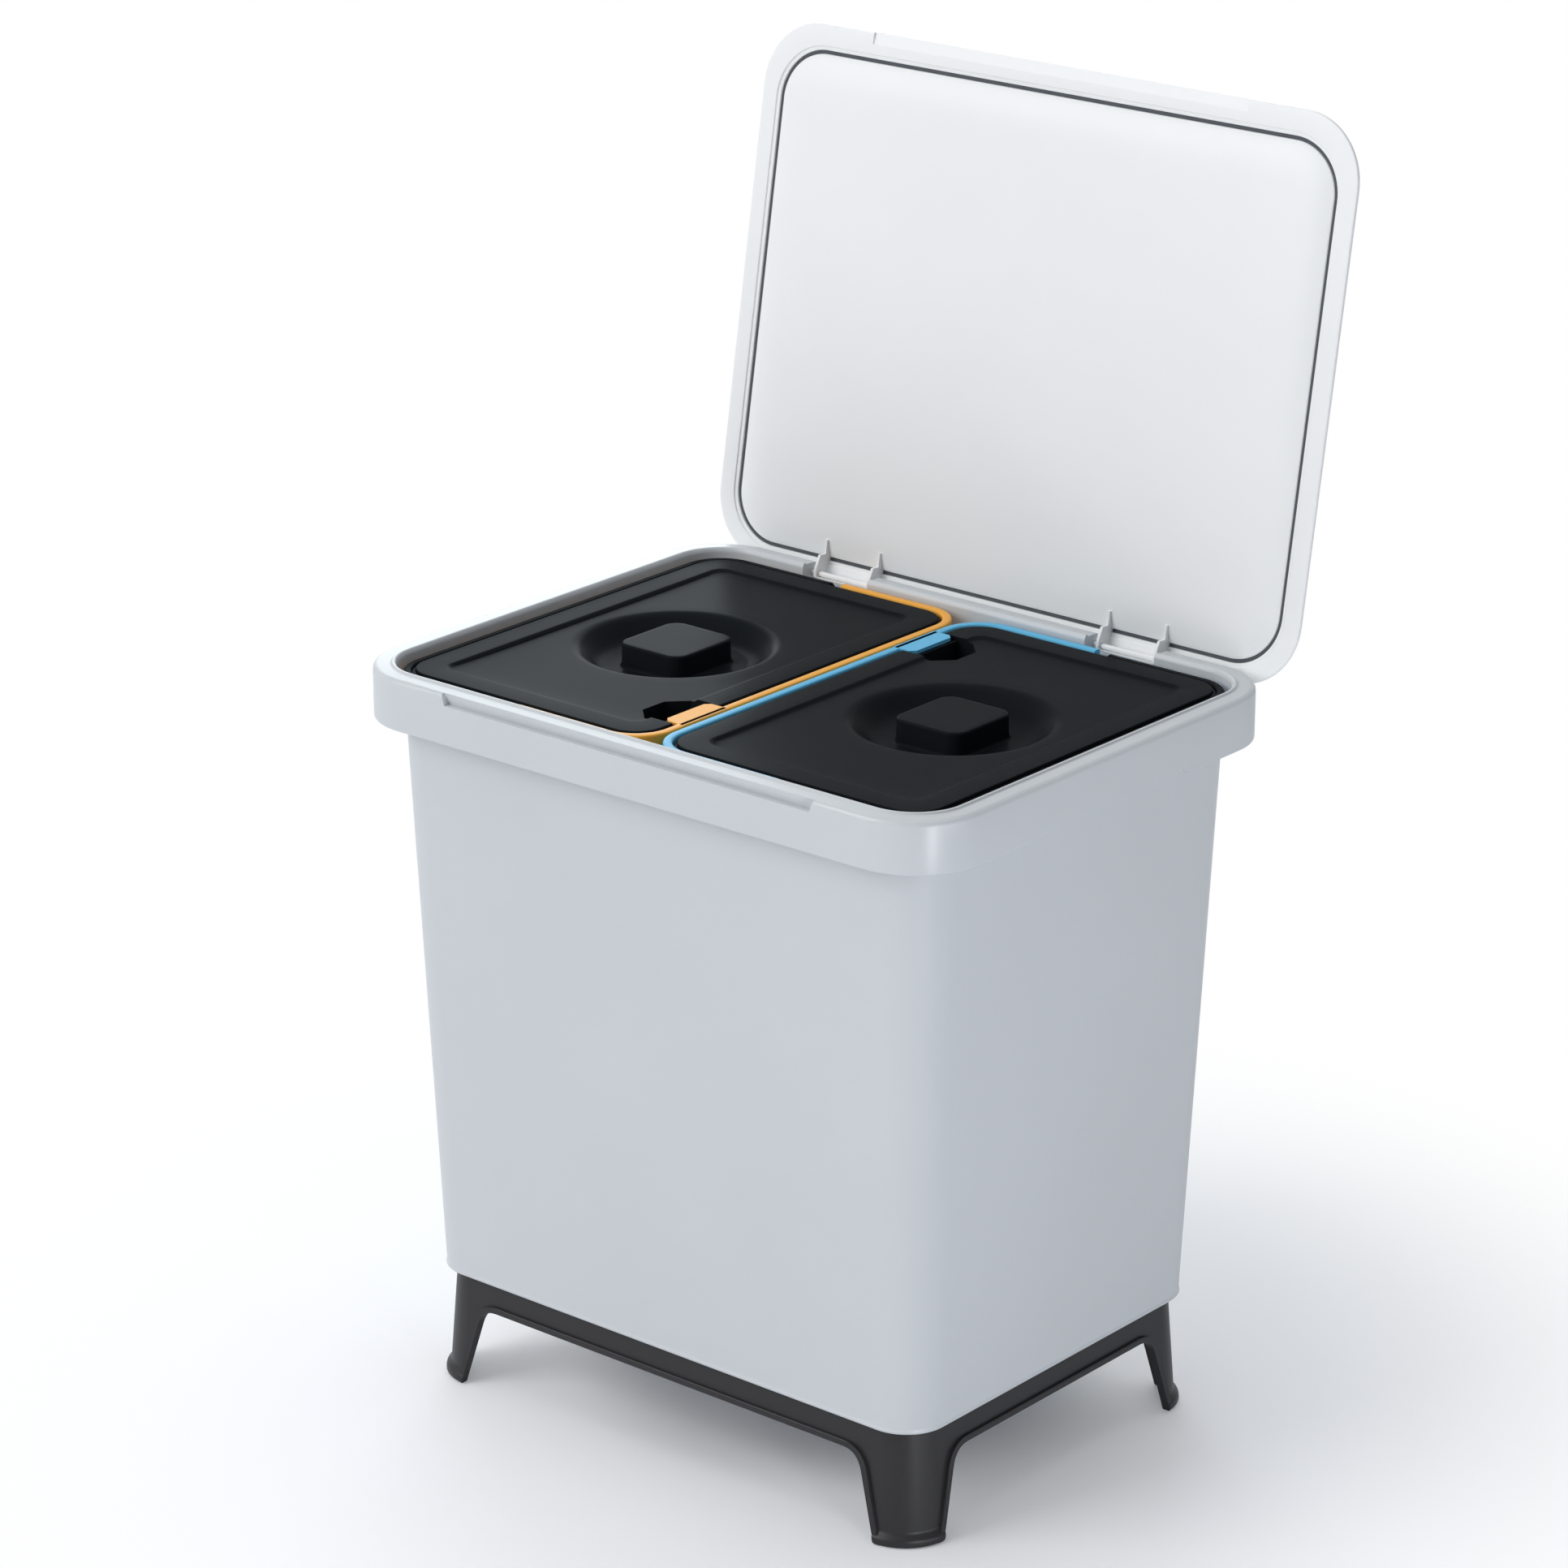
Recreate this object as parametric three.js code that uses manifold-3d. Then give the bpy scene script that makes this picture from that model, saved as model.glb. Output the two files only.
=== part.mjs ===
// Double recycling bin: a tapered tub with a deep collar stands on a low frame with four legs. A lid
// is hinged to the back of the collar. Two equal buckets hang side by side in the tub; each has a
// folding bail round the outer half of its rim and a loose inner lid with a sunken pinch knob.
// Millimetres, +X right, +Y to the hinges, +Z up. The lid is shown open, leaning back on its stop.
import * as THREE from 'three';
import { mergeVertices } from 'three/addons/utils/BufferGeometryUtils.js';
import Module from 'manifold-3d';

const wasm = await Module();
wasm.setup();

// ---- driving dimensions -------------------------------------------------------------------------
const seatGap = 0.3; // between pieces that rest on each other
const cornerSteps = 5; // facets round a quarter corner

// tub and collar
const collarWidth = 400;
const collarDepth = 303.7;
const collarRadius = 41;
const collarHeight = 28.6; // height of the collar's outer skirt
const collarChamfer = 2;
const binHeight = 351.6; // underside of the tub to the top of the collar's flange
const wall = 2.4; // tub, collar and lid
const rimWidth = 12.85; // flange, from the collar's face to the opening
const tubInset = 15.8; // tub wall from the collar's face, at the top
const tubTaper = 12.25; // further inset at the tub's foot
const tubTopRadius = 27;
const tubFootRadius = 24;
const tubFootRound = 2; // rounding of the tub's lower edge
const tubFloorRound = 1; // the same, inside
const ledgeDepth = 14.3; // ledge that carries the buckets, below the flange
const beadHeight = 1.1; // bead round the opening
const beadWidth = 2.4;
const beadInset = 0.7; // from the opening's edge to the bead

// finger recess in the collar's front and grips in the skirt's ends
const recessWidth = 254;
const recessHeight = 6.5;
const recessDepth = 3.4;
const recessSlant = 5;
const gripLength = 132;
const gripHeight = 3.4;
const gripSlant = 6;

// stand
const standHeight = 65.4;
const standInset = 4.7; // from the tub's lower outline
const standWall = 3;
const standRadius = 21.5;
const standChamfer = 0.5;
const shadowGap = 1.9; // height of the set-back band between the stand's shoulder and the tub
const shadowInset = 1.4;
const beamHeight = 16.9;
const shelfWidth = 12; // inward shelf under the tub
const legFlare = 5.1; // how far the legs spread at the floor
const legWidthTop = 33.4; // from the outline to the leg's inner edge, under the beam
const legWidthFoot = 24.5;
const legFillet = 10;
const toeHeight = 7.5;
const toeOut = 2.6;
const lipWidth = 3.2; // raised lip round the openings between the legs
const lipOut = 2;

// lid
const lidGap = 0.8; // closed lid above the flange
const lidSideOverhang = 1.5;
const lidFrontOverhang = 3.5;
const lidBackInset = 0.75;
const lidRadius = 37.5;
const lidEdge = 2.6; // thickness of the flat border
const grooveWidth = 4.6; // channel in the underside that takes the bead
const grooveDepth = 2.6;
const grooveRoof = 1.8; // wall above the channel
const panelBulge = 2.4; // how far the panel swells below the border
const panelRise = 1; // the panel's edge starts this far inside the channel
const lidGripDepth = 6;
const lidGripRise = 1.2;
const openAngle = 99.73; // degrees from closed to the stop

// hinges
const hingeInset = 4; // axis in front of the collar's back face
const hingeDrop = 5.75; // axis below the flange
const lugCentre = 99.2; // hinge stations from the middle
const lugWidth = 39.8;
const cheek = 2;
const lugDepth = 10; // below the lid's border
const lugLip = 1.4; // wall that joins the two cheeks behind the pin
const lugRound = 3; // corners of the lug, seen from below
const lugReach = 10; // cheeks run on under the panel
const lugFree = 0.5; // cheeks' ends below the panel
const lugSideGap = 3.4; // between a lug and the end of its notch
const pinRadius = 1.5;
const pinPlay = 0.3;
const notchPlay = 2.2; // notch floor below the lugs of the closed lid

// buckets
const bucketPlay = 2.6; // rim to the tub's opening
const bucketMidGap = 1.2; // between the two buckets
const bucketRadius = 25;
const bucketWall = 2.2;
const bucketRimDrop = 2.7; // rim below the collar's flange
const rimSkirt = 1.6;
const rimWall = 1.8; // upright wall between the rim and the seat
const rimBand = 5.2; // width of the rim's top
const seatBand = 13; // inner edge of the seat that carries the inner lid
const seatDepth = 6.3; // seat below the rim
const bucketFootPlay = 1.6; // bucket's foot to the tub's wall
const bucketMidDraft = 8; // bucket's inner wall from the middle, at its foot
const bucketFootRadius = 20;
const bucketFootRound = 4;
const bucketFloorPlay = 3; // under the hanging bucket
const tabReach = 9.4; // tongue on the rim, in the inner lid's finger hole
const tabThick = 2;
const tabChamfer = 3;
const tabPlay = 1; // to the sides of the hole

// bails
const bailWidth = 4.1;
const bailThick = 4;
const bailOuter = 1.2; // bail's outer edge from the rim's outer edge
const bailDrop = 1; // top below the rim
const bailPivotOff = 2.5; // pivot outward of the bucket's middle
const bailPivotDrop = 7; // pivot below the rim
const bailEar = 2.8;
const bailTongue = 1.4;
const bailPinRadius = 1.2;
const bailPlay = 0.3;

// inner lids
const innerLidPlay = 7.4; // from the rim's outer edge
const innerLidRadius = 17.6;
const innerLidWall = 2;
const innerLidDrop = 0.2; // border below the bucket's rim
const innerLidBorder = 15;
const innerLidRecess = 1.8;
const innerLidStep = 2.2; // width of the slope from the border to the panel
const innerLidCorner = 10; // the panel's corner is this much tighter than the plate's
const innerLidSkirt = 1.8;
const innerLidFlange = 2; // depth of the flange round the border
const sleeveDepth = 15; // wall of the finger hole, below the panel
const knobWidth = 45;
const knobDepth = 49;
const knobRadius = 9;
const knobRise = 0.6; // knob above the border
const knobOff = 2.8; // knob outward of the bucket's middle
const dishDepth = 11.2;
const dishFloorRadius = 40;
const dishSlope = 19; // width of the dish's wall in plan
const holeStart = 66; // finger hole's near side, from the middle
const holeLength = 37;
const holeWidth = 29.6; // from the lid's inner edge
const holeChamfer = 10;

// ---- derived places -----------------------------------------------------------------------------
const tubFoot = standHeight + seatGap;
const flangeTop = tubFoot + binHeight;
const ledgeTop = flangeTop - ledgeDepth;
const skirtFoot = flangeTop - collarHeight;
const openingX = collarWidth / 2 - rimWidth;
const openingY = collarDepth / 2 - rimWidth;
const openingRadius = collarRadius - rimWidth;
const hingeY = collarDepth / 2 - hingeInset;
const hingeZ = flangeTop - hingeDrop;
const notchHalf = lugWidth / 2 + lugSideGap;
const lidUnder = flangeTop + lidGap;
const rimTop = flangeTop - bucketRimDrop;
const bailTop = rimTop - bailDrop;
const bailUnder = bailTop - bailThick;
const rebateTop = bailUnder - bailPlay;
const seatTop = rimTop - seatDepth;
const bucketHalfX = (openingX - bucketPlay - bucketMidGap / 2) / 2;
const bucketHalfY = openingY - bucketPlay;
const bucketMid = bucketHalfX + bucketMidGap / 2;
const bailPivotX = bucketMid + bailPivotOff;
const bailPivotZ = rimTop - bailPivotDrop;
const bailStart = bailPivotX + rebateTop - bailPivotZ + 2 * bailPlay;
const rebateStart = bailPivotX - (bailTop - bailPivotZ) - 2 * bailPlay;
const knobX = bucketMid + knobOff;

// ---- shape tools --------------------------------------------------------------------------------
const asPrismAlongX = new THREE.Matrix4().makeBasis(
  new THREE.Vector3(0, 1, 0), new THREE.Vector3(0, 0, 1), new THREE.Vector3(1, 0, 0));
const asPrismAlongY = new THREE.Matrix4().makeBasis(
  new THREE.Vector3(1, 0, 0), new THREE.Vector3(0, 0, 1), new THREE.Vector3(0, -1, 0));

// A loop of points round a rounded rectangle at one height; x and y are half sizes.
function loop({ x, y, radius, z, midX = 0, midY = 0 }) {
  const points = [];
  const quarters = [[1, 1], [-1, 1], [-1, -1], [1, -1]];
  quarters.forEach(([sideX, sideY], quarter) => {
    for (let step = 0; step <= cornerSteps; step++) {
      const angle = (quarter + step / cornerSteps) * Math.PI / 2;
      points.push([
        midX + sideX * (x - radius) + radius * Math.cos(angle),
        midY + sideY * (y - radius) + radius * Math.sin(angle),
        z,
      ]);
    }
  });
  return points;
}

function signedVolume(positions, index) {
  const [a, b, c] = [new THREE.Vector3(), new THREE.Vector3(), new THREE.Vector3()];
  let six = 0;
  for (let i = 0; i < index.length; i += 3) {
    a.fromArray(positions, index[i] * 3);
    b.fromArray(positions, index[i + 1] * 3);
    c.fromArray(positions, index[i + 2] * 3);
    six += a.dot(b.cross(c));
  }
  return six / 6;
}

// Skins a stack of equal loops: capped at both ends, or joined end to end into a frame.
function loft(loops, frame = false) {
  const count = loops[0].length;
  const positions = loops.flat(2);
  const index = [];
  const bands = frame ? loops.length : loops.length - 1;
  for (let band = 0; band < bands; band++) {
    const low = band * count;
    const high = ((band + 1) % loops.length) * count;
    for (let i = 0; i < count; i++) {
      const next = (i + 1) % count;
      index.push(low + i, low + next, high + next, low + i, high + next, high + i);
    }
  }
  if (!frame) {
    const last = (loops.length - 1) * count;
    for (let i = 1; i < count - 1; i++) {
      index.push(0, i + 1, i, last, last + i, last + i + 1);
    }
  }
  if (signedVolume(positions, index) < 0) index.reverse();
  const geometry = new THREE.BufferGeometry();
  geometry.setAttribute('position', new THREE.Float32BufferAttribute(positions, 3));
  geometry.setIndex(index);
  return geometry;
}

// Loops that round an edge: from inset `round` at the start height to inset 0 at `round` further on.
function roundedFoot(outline, round, z, steps = 3) {
  const loops = [];
  for (let step = 0; step <= steps; step++) {
    const angle = (step / steps) * Math.PI / 2;
    loops.push(outline(round * (1 - Math.sin(angle)), z + round * (1 - Math.cos(angle))));
  }
  return loops;
}

function polygon(points) {
  return new THREE.Shape(points.map(([u, v]) => new THREE.Vector2(u, v)));
}

function prism(shape, depth, curveSegments = 6) {
  const geometry = new THREE.ExtrudeGeometry(shape, { depth, bevelEnabled: false, curveSegments });
  return geometry.translate(0, 0, -depth / 2);
}

const prismX = (shape, x, length) => prism(shape, length).applyMatrix4(asPrismAlongX).translate(x, 0, 0);
const prismY = (shape, y, length) => prism(shape, length).applyMatrix4(asPrismAlongY).translate(0, y, 0);

// A box between two corners.
function block([x0, y0, z0], [x1, y1, z1]) {
  return new THREE.BoxGeometry(x1 - x0, y1 - y0, z1 - z0)
    .translate((x0 + x1) / 2, (y0 + y1) / 2, (z0 + z1) / 2);
}

function rodX(radius, x, y, z, length, sides = 16) {
  return new THREE.CylinderGeometry(radius, radius, length, sides).rotateZ(Math.PI / 2).translate(x, y, z);
}

function rodY(radius, x, y, z, length, sides = 16) {
  return new THREE.CylinderGeometry(radius, radius, length, sides).translate(x, y, z);
}

// ---- joining and cutting ------------------------------------------------------------------------
function solid(geometry) {
  const bare = geometry.clone();
  bare.deleteAttribute('normal');
  bare.deleteAttribute('uv');
  const merged = mergeVertices(bare, 1e-4);
  return new wasm.Manifold(new wasm.Mesh({
    numProp: 3,
    vertProperties: new Float32Array(merged.attributes.position.array),
    triVerts: new Uint32Array(merged.index.array),
  }));
}

function geometryOf(manifold) {
  const mesh = manifold.getMesh();
  const geometry = new THREE.BufferGeometry();
  geometry.setAttribute('position', new THREE.Float32BufferAttribute(mesh.vertProperties, 3));
  geometry.setIndex([...mesh.triVerts]);
  geometry.computeVertexNormals();
  return geometry;
}

const joined = (base, parts) => parts.reduce((whole, part) => whole.add(solid(part)), base);
const cut = (base, parts) => parts.reduce((whole, part) => whole.subtract(solid(part)), base);

// ---- tub with collar ----------------------------------------------------------------------------
// Loops of the tub: insets are taken from the collar's face.
const collarLoop = (inset, z, radius = collarRadius - inset) => loop({
  x: collarWidth / 2 - inset, y: collarDepth / 2 - inset, radius, z,
});
const tubFootInset = tubInset + tubTaper;

function outerBin() {
  const foot = (inset, z) => collarLoop(tubFootInset + inset, z, tubFootRadius - inset);
  const innerFoot = (inset, z) => foot(wall + inset, z + wall);
  const beadOut = rimWidth - beadInset - beadWidth;
  const beadSlope = 0.6;
  const loops = [
    ...roundedFoot(foot, tubFootRound, tubFoot),
    collarLoop(tubInset, ledgeTop - wall, tubTopRadius),
    collarLoop(rimWidth - wall, ledgeTop - wall),
    collarLoop(rimWidth - wall, flangeTop - wall),
    collarLoop(wall, flangeTop - wall),
    collarLoop(wall, skirtFoot),
    collarLoop(0, skirtFoot),
    collarLoop(0, flangeTop - collarChamfer),
    collarLoop(collarChamfer, flangeTop),
    collarLoop(beadOut, flangeTop),
    collarLoop(beadOut + beadSlope, flangeTop + beadHeight),
    collarLoop(rimWidth - beadInset - beadSlope, flangeTop + beadHeight),
    collarLoop(rimWidth, flangeTop - beadInset),
    collarLoop(rimWidth, ledgeTop),
    collarLoop(tubInset + wall, ledgeTop, tubTopRadius - wall),
    ...roundedFoot(innerFoot, tubFloorRound, tubFoot).reverse(),
  ];

  const back = collarDepth / 2;
  const notchFloor = lidUnder - lugDepth - notchPlay;
  const webs = [];
  const cuts = [];
  for (const side of [-1, 1]) {
    const middle = side * lugCentre;
    for (const end of [-1, 1]) {
      const inner = middle + end * notchHalf;
      const outer = inner + end * wall;
      webs.push(block(
        [Math.min(inner, outer), openingY, ledgeTop - wall],
        [Math.max(inner, outer), back, flangeTop - collarChamfer]));
    }
    cuts.push(block(
      [middle - notchHalf, openingY - wall, notchFloor],
      [middle + notchHalf, back + wall, flangeTop + 2 * beadHeight]));
    cuts.push(rodX(pinRadius + pinPlay, middle, hingeY, hingeZ, 2 * (notchHalf + 2 * wall)));
  }

  // finger recess: a thicker wall behind it, then the recess itself
  const face = -collarDepth / 2;
  const recessFoot = flangeTop - recessHeight;
  const backing = block(
    [-recessWidth / 2 - wall, face + wall / 2, recessFoot - wall],
    [recessWidth / 2 + wall, face + recessDepth + wall, flangeTop - wall / 2]);
  const above = flangeTop + 2 * beadHeight;
  const recess = prismY(polygon([
    [-recessWidth / 2 + recessSlant, recessFoot], [recessWidth / 2 - recessSlant, recessFoot],
    [recessWidth / 2, flangeTop], [recessWidth / 2, above],
    [-recessWidth / 2, above], [-recessWidth / 2, flangeTop],
  ]), face, 2 * recessDepth);

  // grips: the skirt's lower edge steps up in the middle of each end
  const gripShape = polygon([
    [-gripLength / 2, skirtFoot - wall], [gripLength / 2, skirtFoot - wall],
    [gripLength / 2, skirtFoot], [gripLength / 2 - gripSlant, skirtFoot + gripHeight],
    [-gripLength / 2 + gripSlant, skirtFoot + gripHeight], [-gripLength / 2, skirtFoot],
  ]);
  const grips = [-1, 1].map((side) => prismX(gripShape, side * collarWidth / 2, 4 * wall));

  const body = joined(solid(loft(loops)), [...webs, backing]);
  return geometryOf(cut(body, [...cuts, recess, ...grips]));
}

// ---- stand --------------------------------------------------------------------------------------
const standX = collarWidth / 2 - tubFootInset - standInset;
const standY = collarDepth / 2 - tubFootInset - standInset;

// How far the legs have spread at height z.
const flareAt = (z) => legFlare * (standHeight - z) / standHeight;

function standLoop(out, z) {
  const spread = flareAt(z) + out;
  return loop({ x: standX + spread, y: standY + spread, radius: standRadius + spread, z });
}

// Outline of the opening between two legs; `grow` widens it by the lip.
function legOpening(half, grow) {
  const top = standHeight - beamHeight + grow;
  const topHalf = half - legWidthTop + grow;
  const footHalf = half + legFlare - legWidthFoot + grow;
  const fillet = legFillet + grow;
  const lean = (footHalf - topHalf) / top;
  const shape = new THREE.Shape();
  shape.moveTo(-footHalf - lean * lipWidth, -lipWidth);
  shape.lineTo(footHalf + lean * lipWidth, -lipWidth);
  shape.lineTo(topHalf + lean * fillet, top - fillet);
  shape.quadraticCurveTo(topHalf, top, topHalf - fillet, top);
  shape.lineTo(-topHalf + fillet, top);
  shape.quadraticCurveTo(-topHalf, top, -topHalf - lean * fillet, top - fillet);
  shape.closePath();
  return shape;
}

function legStand() {
  const shoulder = standHeight - shadowGap;
  const shelfFoot = standHeight - standWall;
  const frame = loft([
    standLoop(toeOut * 0.3, 0),
    standLoop(toeOut * 0.8, toeHeight * 0.15),
    standLoop(toeOut, toeHeight * 0.45),
    standLoop(toeOut * 0.7, toeHeight * 0.75),
    standLoop(0, toeHeight),
    standLoop(0, shoulder - standChamfer),
    standLoop(-standChamfer, shoulder),
    standLoop(-shadowInset, shoulder),
    standLoop(-shadowInset, standHeight),
    standLoop(-shelfWidth, standHeight),
    standLoop(-shelfWidth, shelfFoot),
    standLoop(-standWall, shelfFoot),
    standLoop(-standWall, 0),
  ], true);
  const lipBand = loft([
    standLoop(lipOut * 0.5, 0),
    standLoop(lipOut, toeHeight),
    standLoop(lipOut, standHeight - beamHeight + lipWidth),
    standLoop(-standWall / 2, standHeight - beamHeight + lipWidth + lipOut / 2),
    standLoop(-standWall / 2, 0),
  ], true);
  const through = 2 * collarWidth;
  const openings = (grow) => [
    prismY(legOpening(standX, grow), 0, through), prismX(legOpening(standY, grow), 0, through),
  ];
  const [widerX, widerY] = openings(lipWidth).map(solid);
  const lips = solid(lipBand).intersect(widerX.add(widerY));
  return geometryOf(cut(solid(frame).add(lips), openings(0)));
}

// ---- lid, drawn closed --------------------------------------------------------------------------
const lidFront = -collarDepth / 2 - lidFrontOverhang;
const lidBack = collarDepth / 2 - lidBackInset;

function lidShell() {
  const edge = (inset, rise) => loop({
    x: collarWidth / 2 + lidSideOverhang - inset, y: (lidBack - lidFront) / 2 - inset,
    radius: lidRadius - inset, z: lidUnder + rise, midY: (lidBack + lidFront) / 2,
  });
  const ring = (out, rise) => loop({
    x: openingX + out, y: openingY + out, radius: openingRadius + out, z: lidUnder + rise,
  });
  const panelEdge = -0.25;
  const grooveOut = panelEdge + grooveWidth;
  const swell = [[1.3, 0.34], [4, 0.64], [9, 0.88], [18, 1]];
  const dropAt = (share) => panelRise - (panelBulge + panelRise) * share;
  const crest = grooveDepth + grooveRoof;
  const loops = [
    ...swell.map(([inset, share]) => ring(panelEdge - inset, dropAt(share))).reverse(),
    ring(panelEdge, panelRise),
    ring(panelEdge + 0.4, grooveDepth),
    ring(grooveOut - 0.4, grooveDepth),
    ring(grooveOut, 0),
    edge(0.8, 0),
    edge(0, 0.8),
    edge(0, lidEdge - 0.9),
    edge(0.9, lidEdge),
    ring(grooveOut + wall + 1, lidEdge),
    ring(grooveOut + wall - 0.6, crest),
    ring(panelEdge - wall + 0.6, crest),
    ring(panelEdge - wall - 0.6, wall + panelRise),
    ...swell.map(([inset, share]) => ring(panelEdge - wall - inset, wall + dropAt(share))),
  ];

  // lugs: a U in plan, two cheeks and a lip behind the pin, cut to a side profile
  const halfLug = lugWidth / 2;
  const inHalf = halfLug - cheek;
  const inBack = lidBack - lugLip;
  const cheekEnd = openingY - lugReach;
  const plan = new THREE.Shape();
  plan.moveTo(-halfLug, cheekEnd);
  plan.lineTo(-inHalf, cheekEnd);
  plan.lineTo(-inHalf, inBack);
  plan.lineTo(inHalf, inBack);
  plan.lineTo(inHalf, cheekEnd);
  plan.lineTo(halfLug, cheekEnd);
  plan.lineTo(halfLug, lidBack - lugRound);
  plan.absarc(halfLug - lugRound, lidBack - lugRound, lugRound, 0, Math.PI / 2, false);
  plan.absarc(-halfLug + lugRound, lidBack - lugRound, lugRound, Math.PI / 2, Math.PI, false);
  plan.closePath();
  const profile = polygon([
    [cheekEnd, -panelBulge * 0.45],
    [cheekEnd, -panelBulge - lugFree],
    [openingY - bucketPlay + lugFree, -panelBulge - lugFree],
    [openingY - bucketPlay + 2 * lugFree, -lugDepth * 0.75],
    [hingeY - 2 * pinRadius, -lugDepth],
    [lidBack - lugLip, -lugDepth],
    [lidBack, -lugDepth + lugLip],
    [lidBack, lidEdge / 2],
    [openingY + grooveOut + wall, lidEdge / 2],
    [openingY + grooveOut, grooveDepth + grooveRoof / 3],
    [openingY + panelEdge - 0.4, grooveDepth + grooveRoof / 3],
    [openingY + panelEdge - wall, -panelBulge * 0.1],
  ]);
  const lugs = [];
  const holes = [];
  for (const side of [-1, 1]) {
    const walls = prism(plan, 3 * lugDepth, 4).translate(side * lugCentre, 0, lidUnder);
    const sides = prismX(profile, side * lugCentre, lugWidth).translate(0, 0, lidUnder);
    lugs.push(solid(walls).intersect(solid(sides)));
    holes.push(rodX(pinRadius + pinPlay, side * lugCentre, hingeY, hingeZ, 2 * lugWidth));
  }
  const grip = block(
    [-recessWidth / 2, lidFront - wall, lidUnder - wall],
    [recessWidth / 2, lidFront + lidGripDepth, lidUnder + lidGripRise]);
  const shell = lugs.reduce((whole, lug) => whole.add(lug), solid(loft(loops)));
  return geometryOf(cut(shell, [...holes, grip]));
}

const hingePin = () => rodX(pinRadius, 0, 0, 0, 2 * (notchHalf + wall), 12);

// ---- bucket, right-hand one ---------------------------------------------------------------------
// Loops of the bucket's upper part: insets are taken from the rim's outer edge.
const bucketLoop = (inset, z, radius = bucketRadius - inset) => loop({
  x: bucketHalfX - inset, y: bucketHalfY - inset, radius, z, midX: bucketMid,
});

// The bucket with its rim at one height; the rim's outer half is lower to take the bail.
function bucketWithRim(rim) {
  const outerX = collarWidth / 2 - tubFootInset - wall - bucketFootPlay;
  const footHalfX = (outerX - bucketMidDraft) / 2;
  const foot = (inset, z) => loop({
    x: footHalfX - inset, y: collarDepth / 2 - tubFootInset - wall - bucketFootPlay - inset,
    radius: bucketFootRadius - inset, z, midX: bucketMidDraft + footHalfX,
  });
  const innerFoot = (inset, z) => foot(inset + bucketWall, z + bucketWall);
  const base = tubFoot + wall + bucketFloorPlay;
  const skirtEnd = ledgeTop + seatGap;
  const neck = rimBand - rimWall;
  const edge = 0.7;
  return solid(loft([
    ...roundedFoot(foot, bucketFootRound, base),
    bucketLoop(seatBand - bucketWall, seatTop - bucketWall),
    bucketLoop(neck, seatTop - bucketWall),
    bucketLoop(neck, rim - bucketWall),
    bucketLoop(rimSkirt, rim - bucketWall),
    bucketLoop(rimSkirt, skirtEnd),
    bucketLoop(0, skirtEnd),
    bucketLoop(0, rim - edge),
    bucketLoop(edge, rim),
    bucketLoop(rimBand - edge, rim),
    bucketLoop(rimBand, rim - edge),
    bucketLoop(rimBand, seatTop),
    bucketLoop(seatBand, seatTop),
    ...roundedFoot(innerFoot, bucketFootRound - bucketWall, base).reverse(),
  ]));
}

function bucket() {
  const far = collarWidth;
  const overlap = 0.05;
  const innerHalf = block([-far, -far, 0], [rebateStart, far, far * 2]);
  const outerHalf = block([rebateStart - overlap, -far, 0], [far, far, far * 2]);
  const tall = bucketWithRim(rimTop).intersect(solid(innerHalf));
  const low = bucketWithRim(rebateTop).intersect(solid(outerHalf));

  const tip = bucketMidGap / 2 + rimBand + tabReach;
  const [tabFrom, tabTo] = [holeStart + tabPlay, holeStart + holeLength - tabPlay];
  const tab = prism(polygon([
    [bucketMidGap, tabFrom], [tip - tabChamfer, tabFrom], [tip, tabFrom + tabChamfer],
    [tip, tabTo - tabChamfer], [tip - tabChamfer, tabTo], [bucketMidGap, tabTo],
  ]), tabThick).translate(0, 0, rimTop - tabThick / 2);

  // slots in the rim for the bail's ears, with the pin that each ear turns on
  const slots = [];
  const pins = [];
  const channelOut = bucketHalfY - rimSkirt;
  const channelIn = bucketHalfY - rimBand + rimWall;
  for (const side of [-1, 1]) {
    slots.push(block(
      [rebateStart, Math.min(side * channelIn, side * channelOut), rebateTop - 2 * bucketWall],
      [bailPivotX + bailEar + 2 * bailPlay, Math.max(side * channelIn, side * channelOut), rimTop]));
    pins.push(rodY(bailPinRadius, bailPivotX, side * (channelIn + channelOut) / 2, bailPivotZ,
      channelOut - channelIn + 2 * rimSkirt * 0.8, 12));
  }
  return geometryOf(joined(cut(tall.add(low), slots), [tab, ...pins]));
}

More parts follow.
